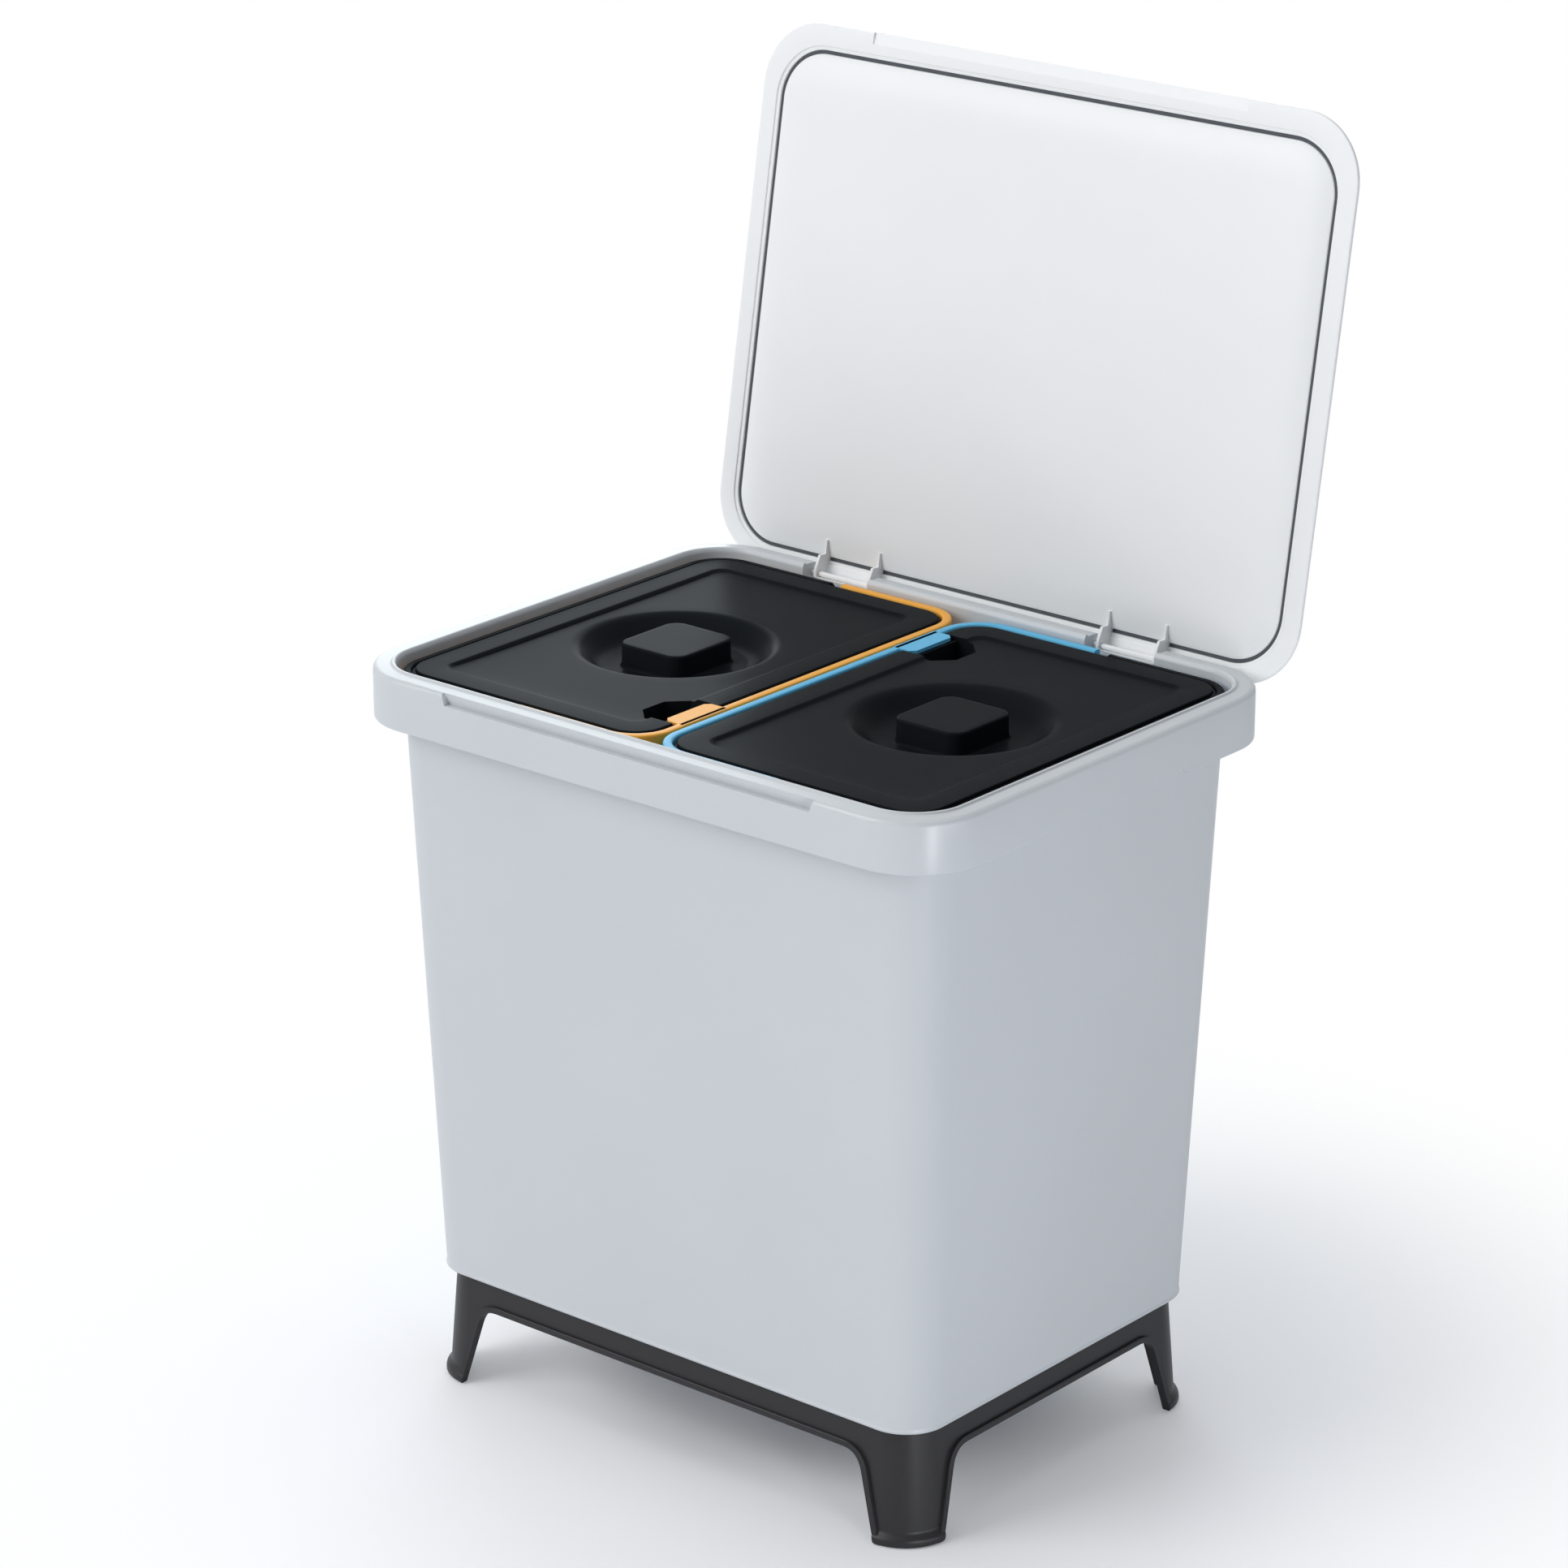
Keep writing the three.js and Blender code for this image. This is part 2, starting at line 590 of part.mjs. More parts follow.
// ---- bail, stowed round the outer half of the rim ------------------------------------------------
function bail() {
  const outer = bailOuter;
  const radius = bucketRadius - outer;
  const farX = bucketMid + bucketHalfX - outer;
  const sideY = bucketHalfY - outer;
  const innerRadius = radius - bailWidth;
  const strap = new THREE.Shape();
  strap.moveTo(bailStart, -sideY);
  strap.lineTo(farX - radius, -sideY);
  strap.absarc(farX - radius, -sideY + radius, radius, -Math.PI / 2, 0, false);
  strap.absarc(farX - radius, sideY - radius, radius, 0, Math.PI / 2, false);
  strap.lineTo(bailStart, sideY);
  strap.lineTo(bailStart, sideY - bailWidth);
  strap.absarc(farX - radius, sideY - radius, innerRadius, Math.PI / 2, 0, true);
  strap.absarc(farX - radius, -sideY + radius, innerRadius, 0, -Math.PI / 2, true);
  strap.lineTo(bailStart, -sideY + bailWidth);
  strap.closePath();
  const band = prism(strap, bailThick).translate(0, 0, bailUnder + bailThick / 2);

  const tongueY = bucketHalfY - (rimSkirt + rimBand - rimWall) / 2;
  const rise = bailTop - bailPivotZ;
  const under = bailUnder - bailPivotZ;
  const tongueShape = polygon([
    [bailPivotX - bailEar * 0.6, bailPivotZ + bailEar * 0.8],
    [bailPivotX + bailEar * 0.9, bailPivotZ + bailEar * 0.2],
    [bailPivotX + bailEar, bailPivotZ + under],
    [bailStart + bailThick, bailPivotZ + under],
    [bailStart + bailThick, bailPivotZ + rise],
    [bailPivotX + bailEar * 0.6, bailPivotZ + rise],
  ]);
  const ears = [];
  const holes = [];
  for (const side of [-1, 1]) {
    ears.push(prismY(tongueShape, side * tongueY, bailTongue));
    ears.push(rodY(bailEar, bailPivotX, side * tongueY, bailPivotZ, bailTongue));
    holes.push(rodY(bailPinRadius + bailPlay, bailPivotX, side * tongueY, bailPivotZ, 2 * bailTongue, 12));
  }
  return geometryOf(cut(joined(solid(band), ears), holes));
}

// ---- inner lid, right-hand one -------------------------------------------------------------------
function innerLid() {
  const top = rimTop - innerLidDrop;
  const panelTop = top - innerLidRecess;
  const under = seatTop + seatGap;
  const flange = top - innerLidFlange;
  const plan = (inset, z) => bucketLoop(
    innerLidPlay + inset, z, innerLidRadius - Math.min(inset, innerLidCorner));
  const plate = loft([
    plan(innerLidBorder + innerLidStep, panelTop - innerLidWall),
    plan(innerLidBorder - innerLidWall, top - innerLidWall),
    plan(innerLidSkirt, top - innerLidWall),
    plan(innerLidSkirt, flange - innerLidSkirt),
    plan(0, flange - innerLidSkirt),
    plan(0, under),
    plan(-innerLidSkirt, under),
    plan(-innerLidSkirt, flange),
    plan(0, flange),
    plan(0, top - 0.8),
    plan(0.8, top),
    plan(innerLidBorder, top),
    plan(innerLidBorder + innerLidStep, panelTop),
  ]);

  // the dish round the knob, and the bowl that carries it below the plate
  const slopeShape = [[0, 1], [0.2, 0.86], [0.4, 0.5], [0.62, 0.2], [1, 0]];
  const slope = (radius, depth, grow) => slopeShape.map(([out, down]) => new THREE.Vector2(
    radius + out * (dishSlope + grow), -down * depth - grow));
  const turned = (points, roof) => new THREE.LatheGeometry([
    new THREE.Vector2(0, points[0].y), ...points,
    new THREE.Vector2(points.at(-1).x, roof), new THREE.Vector2(0, roof),
  ], 28).rotateX(Math.PI / 2).translate(knobX, 0, panelTop);
  const bowl = turned(slope(dishFloorRadius + innerLidWall * 0.6, dishDepth, innerLidWall * 0.9),
    -innerLidWall * 0.4);
  const dish = turned(slope(dishFloorRadius, dishDepth, 0), innerLidWall);

  const knobTop = top + knobRise;
  const knobLoop = (inset, z) => loop({
    x: knobWidth / 2 - inset, y: knobDepth / 2 - inset, radius: knobRadius - inset, z, midX: knobX,
  });
  const knobFoot = panelTop - dishDepth - innerLidWall * 0.5;
  const knob = loft([knobLoop(0, knobFoot), knobLoop(0, knobTop - 1.2), knobLoop(0.4, knobTop - 0.4),
    knobLoop(1.4, knobTop)]);
  const hollow = loft([knobLoop(innerLidWall, knobFoot - 2 * innerLidWall),
    knobLoop(innerLidWall, knobTop - innerLidWall)]);

  // finger hole, open to the lid's inner edge, with a sleeve round it that hangs inside the seat
  const edgeX = bucketMidGap / 2 + innerLidPlay;
  const sleeveX = bucketMidGap / 2 + rimBand + tabReach + seatGap;
  const sleeveFoot = panelTop - sleeveDepth;
  const hole = (start, grow, from, to) => prism(polygon([
    [start, holeStart - grow],
    [edgeX + holeWidth - holeChamfer + grow * 0.4, holeStart - grow],
    [edgeX + holeWidth + grow, holeStart + holeChamfer - grow * 0.4],
    [edgeX + holeWidth + grow, holeStart + holeLength - holeChamfer + grow * 0.4],
    [edgeX + holeWidth - holeChamfer + grow * 0.4, holeStart + holeLength + grow],
    [start, holeStart + holeLength + grow],
  ]), to - from).translate(0, 0, (from + to) / 2);

  const sleeve = hole(sleeveX, innerLidSkirt, sleeveFoot, panelTop - 0.3);
  const collar = hole(edgeX + innerLidSkirt / 2, innerLidSkirt, under, panelTop - 0.3);
  const shell = joined(solid(plate), [bowl, collar, sleeve]);
  const dished = joined(cut(shell, [dish]), [knob]);
  const mouth = block(
    [edgeX - 2 * innerLidSkirt, holeStart, sleeveFoot - innerLidWall],
    [sleeveX, holeStart + holeLength, rimTop]);
  const well = hole(sleeveX + innerLidSkirt, 0, sleeveFoot - innerLidWall, rimTop);
  const brim = hole(sleeveX - seatGap, 0, rimTop - tabThick - seatGap, rimTop);
  return geometryOf(cut(dished, [hollow, mouth, well, brim]));
}

// ---- assembly -----------------------------------------------------------------------------------
const plastic = (color, roughness) => new THREE.MeshStandardMaterial({
  color, roughness, metalness: 0, flatShading: true,
});
const paleGrey = plastic(0xc6cbd1, 0.42);
const lidGrey = plastic(0xdfe2e4, 0.38);
const anthracite = plastic(0x3c3c3e, 0.5);
const black = plastic(0x23272a, 0.45);
const yellow = plastic(0xf2b04a, 0.4);
const blue = plastic(0x5fbde2, 0.4);

const bin = new THREE.Group();

function place(name, geometry, material, parent = bin) {
  const mesh = new THREE.Mesh(geometry, material);
  mesh.name = name;
  parent.add(mesh);
  return mesh;
}

place('outer_bin', outerBin(), paleGrey);
place('leg_stand', legStand(), anthracite);

// the lid is drawn closed and turned back about the hinge axis
const lidHinge = new THREE.Group();
lidHinge.position.set(0, hingeY, hingeZ);
lidHinge.rotation.x = -THREE.MathUtils.degToRad(openAngle);
bin.add(lidHinge);
place('lid', lidShell(), lidGrey, lidHinge).position.set(0, -hingeY, -hingeZ);
place('hinge_pin_left', hingePin(), lidGrey).position.set(-lugCentre, hingeY, hingeZ);
place('hinge_pin_right', hingePin(), lidGrey).position.set(lugCentre, hingeY, hingeZ);

// the left bucket set is the right one turned half round
const sets = [['left', Math.PI, yellow], ['right', 0, blue]];
const [bucketShape, bailShape, innerLidShape] = [bucket(), bail(), innerLid()];
for (const [side, turn, colour] of sets) {
  place(`bucket_${side}`, bucketShape, colour).rotation.z = turn;
  place(`bail_${side}`, bailShape, black).rotation.z = turn;
  place(`inner_lid_${side}`, innerLidShape, black).rotation.z = turn;
}

// the origin is on the floor, under the middle of the open bin's bounding box
const extent = new THREE.Box3().setFromObject(bin, true);
bin.position.y = -(extent.min.y + extent.max.y) / 2;

export default bin;
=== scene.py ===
"""Double recycling bin: fine surfaces, materials, studio floor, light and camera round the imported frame."""
import math

import bmesh
import bpy
from mathutils import Matrix, Vector


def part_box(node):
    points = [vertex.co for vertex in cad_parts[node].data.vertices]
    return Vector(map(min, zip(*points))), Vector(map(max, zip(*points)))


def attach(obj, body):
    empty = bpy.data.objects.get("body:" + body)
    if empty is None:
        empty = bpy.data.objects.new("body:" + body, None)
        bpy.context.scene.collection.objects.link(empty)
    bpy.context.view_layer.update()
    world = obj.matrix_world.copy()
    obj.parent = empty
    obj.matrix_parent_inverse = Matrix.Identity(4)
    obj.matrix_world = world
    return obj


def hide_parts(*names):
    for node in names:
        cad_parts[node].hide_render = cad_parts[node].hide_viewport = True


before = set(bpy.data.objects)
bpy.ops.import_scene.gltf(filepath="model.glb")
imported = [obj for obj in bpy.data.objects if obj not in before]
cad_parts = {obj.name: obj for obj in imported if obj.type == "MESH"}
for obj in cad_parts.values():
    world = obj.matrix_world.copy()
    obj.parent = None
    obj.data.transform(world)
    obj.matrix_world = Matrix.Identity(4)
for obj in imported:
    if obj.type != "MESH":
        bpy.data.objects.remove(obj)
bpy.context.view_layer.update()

# ---- sizes, in millimetres about the middle of the tub --------------------------------------------
COLLAR_X, COLLAR_Y, COLLAR_R = 200.0, 151.85, 41.0
FOOT_Z = 65.7
FLANGE_Z = 417.3
LEDGE_Z = 403.0
SKIRT_Z = FLANGE_Z - 28.6
WALL = 2.4
RIM = 12.85
TUB_INSET, TUB_TAPER = 15.8, 12.25
TUB_TOP_R, TUB_FOOT_R = 27.0, 24.0
BEAD = 1.1
OPEN_X, OPEN_Y, OPEN_R = COLLAR_X - RIM, COLLAR_Y - RIM, COLLAR_R - RIM
LUG_X, LUG_WIDTH, CHEEK = 99.2, 39.8, 1.6
NOTCH_HALF = LUG_WIDTH / 2 + 3.4
LUG_DROP = 10.0  # the lugs hang this far below the lid
PIN_R, PIN_HOLE_R = 1.5, 1.8
HINGE_Y, HINGE_Z = COLLAR_Y - 4.0, FLANGE_Z - 5.75
LID_UNDER = FLANGE_Z + 0.8
LID_FRONT, LID_BACK = -COLLAR_Y - 3.5, COLLAR_Y - 0.75
LID_X, LID_R, LID_EDGE = COLLAR_X + 1.5, 37.5, 2.6
OPEN_ANGLE = 99.73
RECESS_HALF, RECESS_DEPTH, RECESS_DROP = 127.0, 3.4, 6.5
GRIP_HALF = 66.0  # grips under the collar's sides
TUB_LOOP, STAND_LOOP, LID_LOOP, BUCKET_LOOP = 18, 18, 20, 14  # points on each corner
RIM_Z = FLANGE_Z - 2.7
STAND_X, STAND_Y, STAND_R = 167.25, 119.1, 21.5
STAND_Z = 65.4
BEAM_Z = STAND_Z - 16.9  # top of the openings between the legs

low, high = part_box("outer_bin")
MID_Y = (low[1] + high[1]) / 2  # middle of the tub in the row frame, metres


# ---- mesh tools -----------------------------------------------------------------------------------
def to_row(point):
    return Vector((point[0] / 1000, point[1] / 1000 + MID_Y, point[2] / 1000))


def new_object(name, points, faces, sharp=28.0):
    """A closed mesh from millimetre points, smooth but for edges sharper than `sharp` degrees."""
    mesh = bpy.data.meshes.new(name)
    mesh.from_pydata([to_row(p) for p in points], [], faces)
    obj = bpy.data.objects.new(name, mesh)
    bpy.context.scene.collection.objects.link(obj)
    tidy(obj, sharp)
    return obj


def tidy(obj, sharp=28.0, weld=1e-6):
    work = bmesh.new()
    work.from_mesh(obj.data)
    bmesh.ops.remove_doubles(work, verts=work.verts, dist=weld)
    bmesh.ops.dissolve_degenerate(work, edges=work.edges, dist=weld)
    bmesh.ops.recalc_face_normals(work, faces=work.faces)
    work.to_mesh(obj.data)
    work.free()
    obj.data.shade_smooth()
    obj.data.set_sharp_from_angle(angle=math.radians(sharp))


def soften(rings, closed=False, steps=4):
    """Rounds the profile at each ring whose last number, the softness, is above zero."""
    out = []
    count = len(rings)
    for i, ring in enumerate(rings):
        soft = ring[-1]
        ends = [] if closed else [0, count - 1]
        if soft <= 0 or i in ends:
            out.append(ring[:-1])
            continue
        here = Vector(ring[:-1])
        legs = []
        for other in (rings[i - 1], rings[(i + 1) % count]):
            leg = Vector(other[:-1]) - here
            reach = math.hypot(leg[0], leg[3])
            share = min(soft / reach, 0.48) if reach > 1e-9 else 0
            legs.append(leg * share)
        for step in range(steps + 1):
            t = step / steps
            out.append(tuple(here + legs[0] * (1 - t) ** 2 + legs[1] * t ** 2))
    return out


def loop(ring, corner=14):
    half_x, half_y, radius, z, mid_x = ring[:5]
    mid_y = ring[5] if len(ring) > 5 else 0.0
    radius = max(radius, 0.05)
    points = []
    for quarter, (sx, sy) in enumerate(((1, 1), (-1, 1), (-1, -1), (1, -1))):
        for step in range(corner + 1):
            angle = (quarter + step / corner) * math.pi / 2
            points.append((mid_x + sx * (half_x - radius) + radius * math.cos(angle),
                           mid_y + sy * (half_y - radius) + radius * math.sin(angle), z))
    return points


def skin(name, loops, closed=False, sharp=28.0):
    count = len(loops[0])
    points = [p for one in loops for p in one]
    faces = []
    bands = len(loops) if closed else len(loops) - 1
    for band in range(bands):
        a, b = band * count, ((band + 1) % len(loops)) * count
        for i in range(count):
            j = (i + 1) % count
            faces.append((a + i, a + j, b + j, b + i))
    if not closed:
        faces.append(tuple(range(count)))
        faces.append(tuple(range((len(loops) - 1) * count, len(loops) * count)))
    return new_object(name, points, faces, sharp)


def loft(name, rings, closed=False, corner=14, sharp=28.0):
    """Skins rounded rectangles (half x, half y, radius, z, middle x, softness)."""
    return skin(name, [loop(r, corner) for r in soften(rings, closed)], closed, sharp)


def prism(name, outline, axis, start, end):
    """Extrudes an outline along x, y or z; its own two axes are (y,z), (x,z) or (x,y)."""
    place = {
        "x": lambda u, v, w: (w, u, v),
        "y": lambda u, v, w: (u, w, v),
        "z": lambda u, v, w: (u, v, w),
    }[axis]
    count = len(outline)
    points = [place(u, v, start) for u, v in outline] + [place(u, v, end) for u, v in outline]
    faces = [tuple(range(count)), tuple(range(count, 2 * count))]
    faces += [(i, (i + 1) % count, count + (i + 1) % count, count + i) for i in range(count)]
    return new_object(name, points, faces)


def block(name, near, far):
    outline = [(near[0], near[1]), (far[0], near[1]), (far[0], far[1]), (near[0], far[1])]
    return prism(name, outline, "z", near[2], far[2])


def rod(name, radius, middle, length, axis="x", sides=32, soft=0.0):
    turn = [(math.cos(2 * math.pi * i / sides), math.sin(2 * math.pi * i / sides)) for i in range(sides)]
    half = length / 2
    stations = [(radius - soft, -half), (radius, -half + soft), (radius, half - soft), (radius - soft, half)]
    loops = []
    for r, w in stations if soft else stations[1:3]:
        if axis == "x":
            loops.append([(middle[0] + w, middle[1] + r * c, middle[2] + r * s) for c, s in turn])
        else:
            loops.append([(middle[0] + r * c, middle[1] + w, middle[2] + r * s) for c, s in turn])
    return skin(name, loops)


def combine(obj, others, operation, sharp=28.0):
    """Joins, cuts or intersects with the other objects, which are used up."""
    for other in others:
        modifier = obj.modifiers.new("combine", "BOOLEAN")
        modifier.operation = operation
        modifier.solver = "EXACT"
        modifier.object = other
        bpy.context.view_layer.update()
        mesh = bpy.data.meshes.new_from_object(obj.evaluated_get(bpy.context.evaluated_depsgraph_get()))
        obj.modifiers.clear()
        obj.data = mesh
        bpy.data.objects.remove(other)
    tidy(obj, sharp)
    return obj


def join(obj, others, sharp=28.0):
    return combine(obj, others, "UNION", sharp)


def cut(obj, others, sharp=28.0):
    return combine(obj, others, "DIFFERENCE", sharp)


def turned(obj, angle, axis, centre):
    """Turns the mesh itself about a point in millimetres."""
    pivot = Matrix.Translation(to_row(centre))
    obj.data.transform(pivot @ Matrix.Rotation(angle, 4, axis) @ pivot.inverted())
    obj.data.update()
    return obj


def arc(middle_u, middle_v, radius, start, end, steps=8):
    return [(middle_u + radius * math.cos(math.radians(start + (end - start) * i / steps)),
             middle_v + radius * math.sin(math.radians(start + (end - start) * i / steps)))
            for i in range(steps + 1)]


# ---- materials ------------------------------------------------------------------------------------
def linear(value):
    value /= 255
    return value / 12.92 if value <= 0.04045 else ((value + 0.055) / 1.055) ** 2.4


def moulded(name, colour, roughness, grain=0.06, grain_size=0.0006, mottle=0.03, specular=0.5):
    """Moulded plastic: fine satin grain, faint flow marks and slightly uneven gloss."""
    material = bpy.data.materials.new(name)
    material.use_nodes = True
    nodes, links = material.node_tree.nodes, material.node_tree.links
    nodes.clear()
    out = nodes.new("ShaderNodeOutputMaterial")
    shader = nodes.new("ShaderNodeBsdfPrincipled")
    shader.inputs["Specular IOR Level"].default_value = specular
    links.new(shader.outputs["BSDF"], out.inputs["Surface"])
    where = nodes.new("ShaderNodeTexCoord")

    flow = nodes.new("ShaderNodeTexNoise")
    flow.inputs["Scale"].default_value = 9
    flow.inputs["Detail"].default_value = 3
    links.new(where.outputs["Object"], flow.inputs["Vector"])
    tint = nodes.new("ShaderNodeMix")
    tint.data_type = "RGBA"
    base = [linear(c) for c in colour]
    tint.inputs["A"].default_value = (*[c * (1 - mottle) for c in base], 1)
    tint.inputs["B"].default_value = (*[min(c * (1 + mottle), 1) for c in base], 1)
    links.new(flow.outputs["Fac"], tint.inputs["Factor"])
    links.new(tint.outputs["Result"], shader.inputs["Base Color"])

    gloss = nodes.new("ShaderNodeMapRange")
    gloss.inputs["To Min"].default_value = roughness - 0.05
    gloss.inputs["To Max"].default_value = roughness + 0.05
    links.new(flow.outputs["Fac"], gloss.inputs["Value"])
    links.new(gloss.outputs["Result"], shader.inputs["Roughness"])

    fine = nodes.new("ShaderNodeTexNoise")
    fine.inputs["Scale"].default_value = 1 / grain_size
    fine.inputs["Detail"].default_value = 2
    links.new(where.outputs["Object"], fine.inputs["Vector"])
    bump = nodes.new("ShaderNodeBump")
    bump.inputs["Strength"].default_value = grain
    bump.inputs["Distance"].default_value = 0.00006
    links.new(fine.outputs["Fac"], bump.inputs["Height"])
    links.new(bump.outputs["Normal"], shader.inputs["Normal"])
    return material


TUB_PLASTIC = moulded("tub_plastic", (204, 208, 211), 0.32)
LID_PLASTIC = moulded("lid_plastic", (242, 243, 243), 0.36, specular=0.35)
STAND_PLASTIC = moulded("stand_plastic", (46, 45, 47), 0.38, grain=0.1, specular=0.35)
BLACK_PLASTIC = moulded("black_plastic", (25, 28, 31), 0.34, grain=0.1, specular=0.012)
# mid grey for the strip set into the lid's groove: painted shade that stands in for the groove's shadow line
GROOVE_SHADE_GREY = moulded("painted_groove_shade", (84, 89, 94), 0.6, specular=0.2)
YELLOW_PLASTIC = moulded("yellow_plastic", (242, 172, 66), 0.38, specular=0.2)
BLUE_PLASTIC = moulded("blue_plastic", (95, 183, 224), 0.38, specular=0.2)


def dress(obj, material, body, slot, *nodes):
    obj.data.materials.clear()
    obj.data.materials.append(material)
    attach(obj, body)
    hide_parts(*nodes)
    return obj


# ---- tub with collar ------------------------------------------------------------------------------
def collar_ring(inset, z, soft=0.0, radius=None):
    return (COLLAR_X - inset, COLLAR_Y - inset, COLLAR_R - inset if radius is None else radius, z, 0.0, soft)


def make_tub():
    foot = TUB_INSET + TUB_TAPER
    bead_out = RIM - 0.7 - 2.4
    rings = [
        collar_ring(foot + 9, FOOT_Z, 0, TUB_FOOT_R - 9),
        collar_ring(foot, FOOT_Z, 0.9, TUB_FOOT_R),
        collar_ring(foot - 0.8, FOOT_Z + 1.3, 0.7, TUB_FOOT_R + 0.8),
        collar_ring(foot - 0.15, FOOT_Z + 2.7, 0.6, TUB_FOOT_R + 0.1),
        collar_ring(TUB_INSET, LEDGE_Z - WALL, 1.5, TUB_TOP_R),
        collar_ring(RIM - WALL, LEDGE_Z - WALL, 1.5),
        collar_ring(RIM - WALL, FLANGE_Z - WALL, 1),
        collar_ring(WALL, FLANGE_Z - WALL, 1),
        collar_ring(WALL, SKIRT_Z, 0.4),
        collar_ring(0, SKIRT_Z, 0.7),
        collar_ring(0, FLANGE_Z, 3.2),
        collar_ring(bead_out - 0.3, FLANGE_Z, 0.7),
        collar_ring(bead_out + 0.5, FLANGE_Z + BEAD, 0.6),
        collar_ring(RIM - 1.1, FLANGE_Z + BEAD, 1.1),
        collar_ring(RIM, FLANGE_Z - 1.2, 1),
        collar_ring(RIM, LEDGE_Z, 1.5),
        collar_ring(TUB_INSET + WALL, LEDGE_Z, 1, TUB_TOP_R - WALL),
        collar_ring(foot + WALL, FOOT_Z + WALL, 3, TUB_FOOT_R - WALL),
        collar_ring(foot + 9, FOOT_Z + WALL, 0, TUB_FOOT_R - 9),
    ]
    tub = loft("tub_with_collar", rings, corner=TUB_LOOP)
    notch_floor = LID_UNDER - LUG_DROP - 2.2
    webs, cuts = [], []
    for side in (-1, 1):
        middle = side * LUG_X
        for end in (-1, 1):
            inner = middle + end * NOTCH_HALF
            outer = inner + end * WALL
            webs.append(block("web", (min(inner, outer), OPEN_Y, LEDGE_Z - WALL),
                              (max(inner, outer), COLLAR_Y - 0.2, FLANGE_Z - 2.2)))
        cuts.append(block("notch", (middle - NOTCH_HALF, OPEN_Y - WALL, notch_floor),
                          (middle + NOTCH_HALF, COLLAR_Y + WALL, FLANGE_Z + 4)))
        cuts.append(rod("pin_hole", PIN_HOLE_R, (middle, HINGE_Y, HINGE_Z), 2 * (NOTCH_HALF + 4)))
    face = -COLLAR_Y
    recess_floor = FLANGE_Z - RECESS_DROP
    deep, shallow = face + RECESS_DEPTH + 0.4, face + RECESS_DEPTH - 1.2
    backing = block("backing", (-RECESS_HALF - WALL, face + 1.2, recess_floor - WALL),
                    (RECESS_HALF + WALL, face + RECESS_DEPTH + WALL, FLANGE_Z - 1.2))
    recess = prism("recess", [(face - 3, recess_floor), (deep, recess_floor), (shallow, FLANGE_Z),
                              (shallow, FLANGE_Z + 4), (face - 3, FLANGE_Z + 4)],
                   "x", -RECESS_HALF, RECESS_HALF)
    ends = prism("recess_ends", [(-RECESS_HALF + 3, FLANGE_Z - 8), (RECESS_HALF - 3, FLANGE_Z - 8),
                                 (RECESS_HALF, FLANGE_Z), (RECESS_HALF, FLANGE_Z + 6),
                                 (-RECESS_HALF, FLANGE_Z + 6), (-RECESS_HALF, FLANGE_Z)],
                 "y", face - 5, face + 2 * RECESS_DEPTH)
    combine(recess, [ends], "INTERSECT")
    grip = [(-GRIP_HALF, SKIRT_Z - 3), (GRIP_HALF, SKIRT_Z - 3), (GRIP_HALF, SKIRT_Z)]
    grip += [(GRIP_HALF - 6, SKIRT_Z + 3.4), (-GRIP_HALF + 6, SKIRT_Z + 3.4), (-GRIP_HALF, SKIRT_Z)]
    grips = [prism("grip", grip, "x", side * COLLAR_X - 5, side * COLLAR_X + 5) for side in (-1, 1)]
    join(tub, webs + [backing])
    cut(tub, cuts + [recess] + grips)
    return dress(tub, TUB_PLASTIC, "body", "tub", "outer_bin")


# ---- stand ----------------------------------------------------------------------------------------
FLARE, TOE = 5.1, 2.6
GAP_HEIGHT, GAP_INSET = 1.9, 1.4  # the dark gap under the tub
STAND_IN = 12.0  # the ring on which the tub stands reaches this far in
LIP = 3.2  # raised edge round the openings
FAR = 300.0


def stand_ring(out, z, soft=0.0):
    spread = FLARE * (STAND_Z - z) / STAND_Z + out
    return (STAND_X + spread, STAND_Y + spread, STAND_R + spread, z, 0.0, soft)


def leg_opening(half, grow):
    """Outline of the opening between two legs, in (across, up)."""
    top = BEAM_Z + grow
    top_half = half - 33.4 + grow
    foot_half = half + FLARE - 24.5 + grow
    lean = (foot_half - top_half) / top
    fillet = 10 + grow
    side = []
    for step in range(9):
        t = step / 8
        start, bend, end = (1 - t) ** 2, 2 * t * (1 - t), t ** 2
        u = (top_half + lean * fillet) * start + top_half * bend + (top_half - fillet) * end
        v = (top - fillet) * start + top * bend + top * end
        side.append((u, v))
    right = [(foot_half + lean * 5, -5)] + side
    return right + [(-u, v) for u, v in reversed(right)]


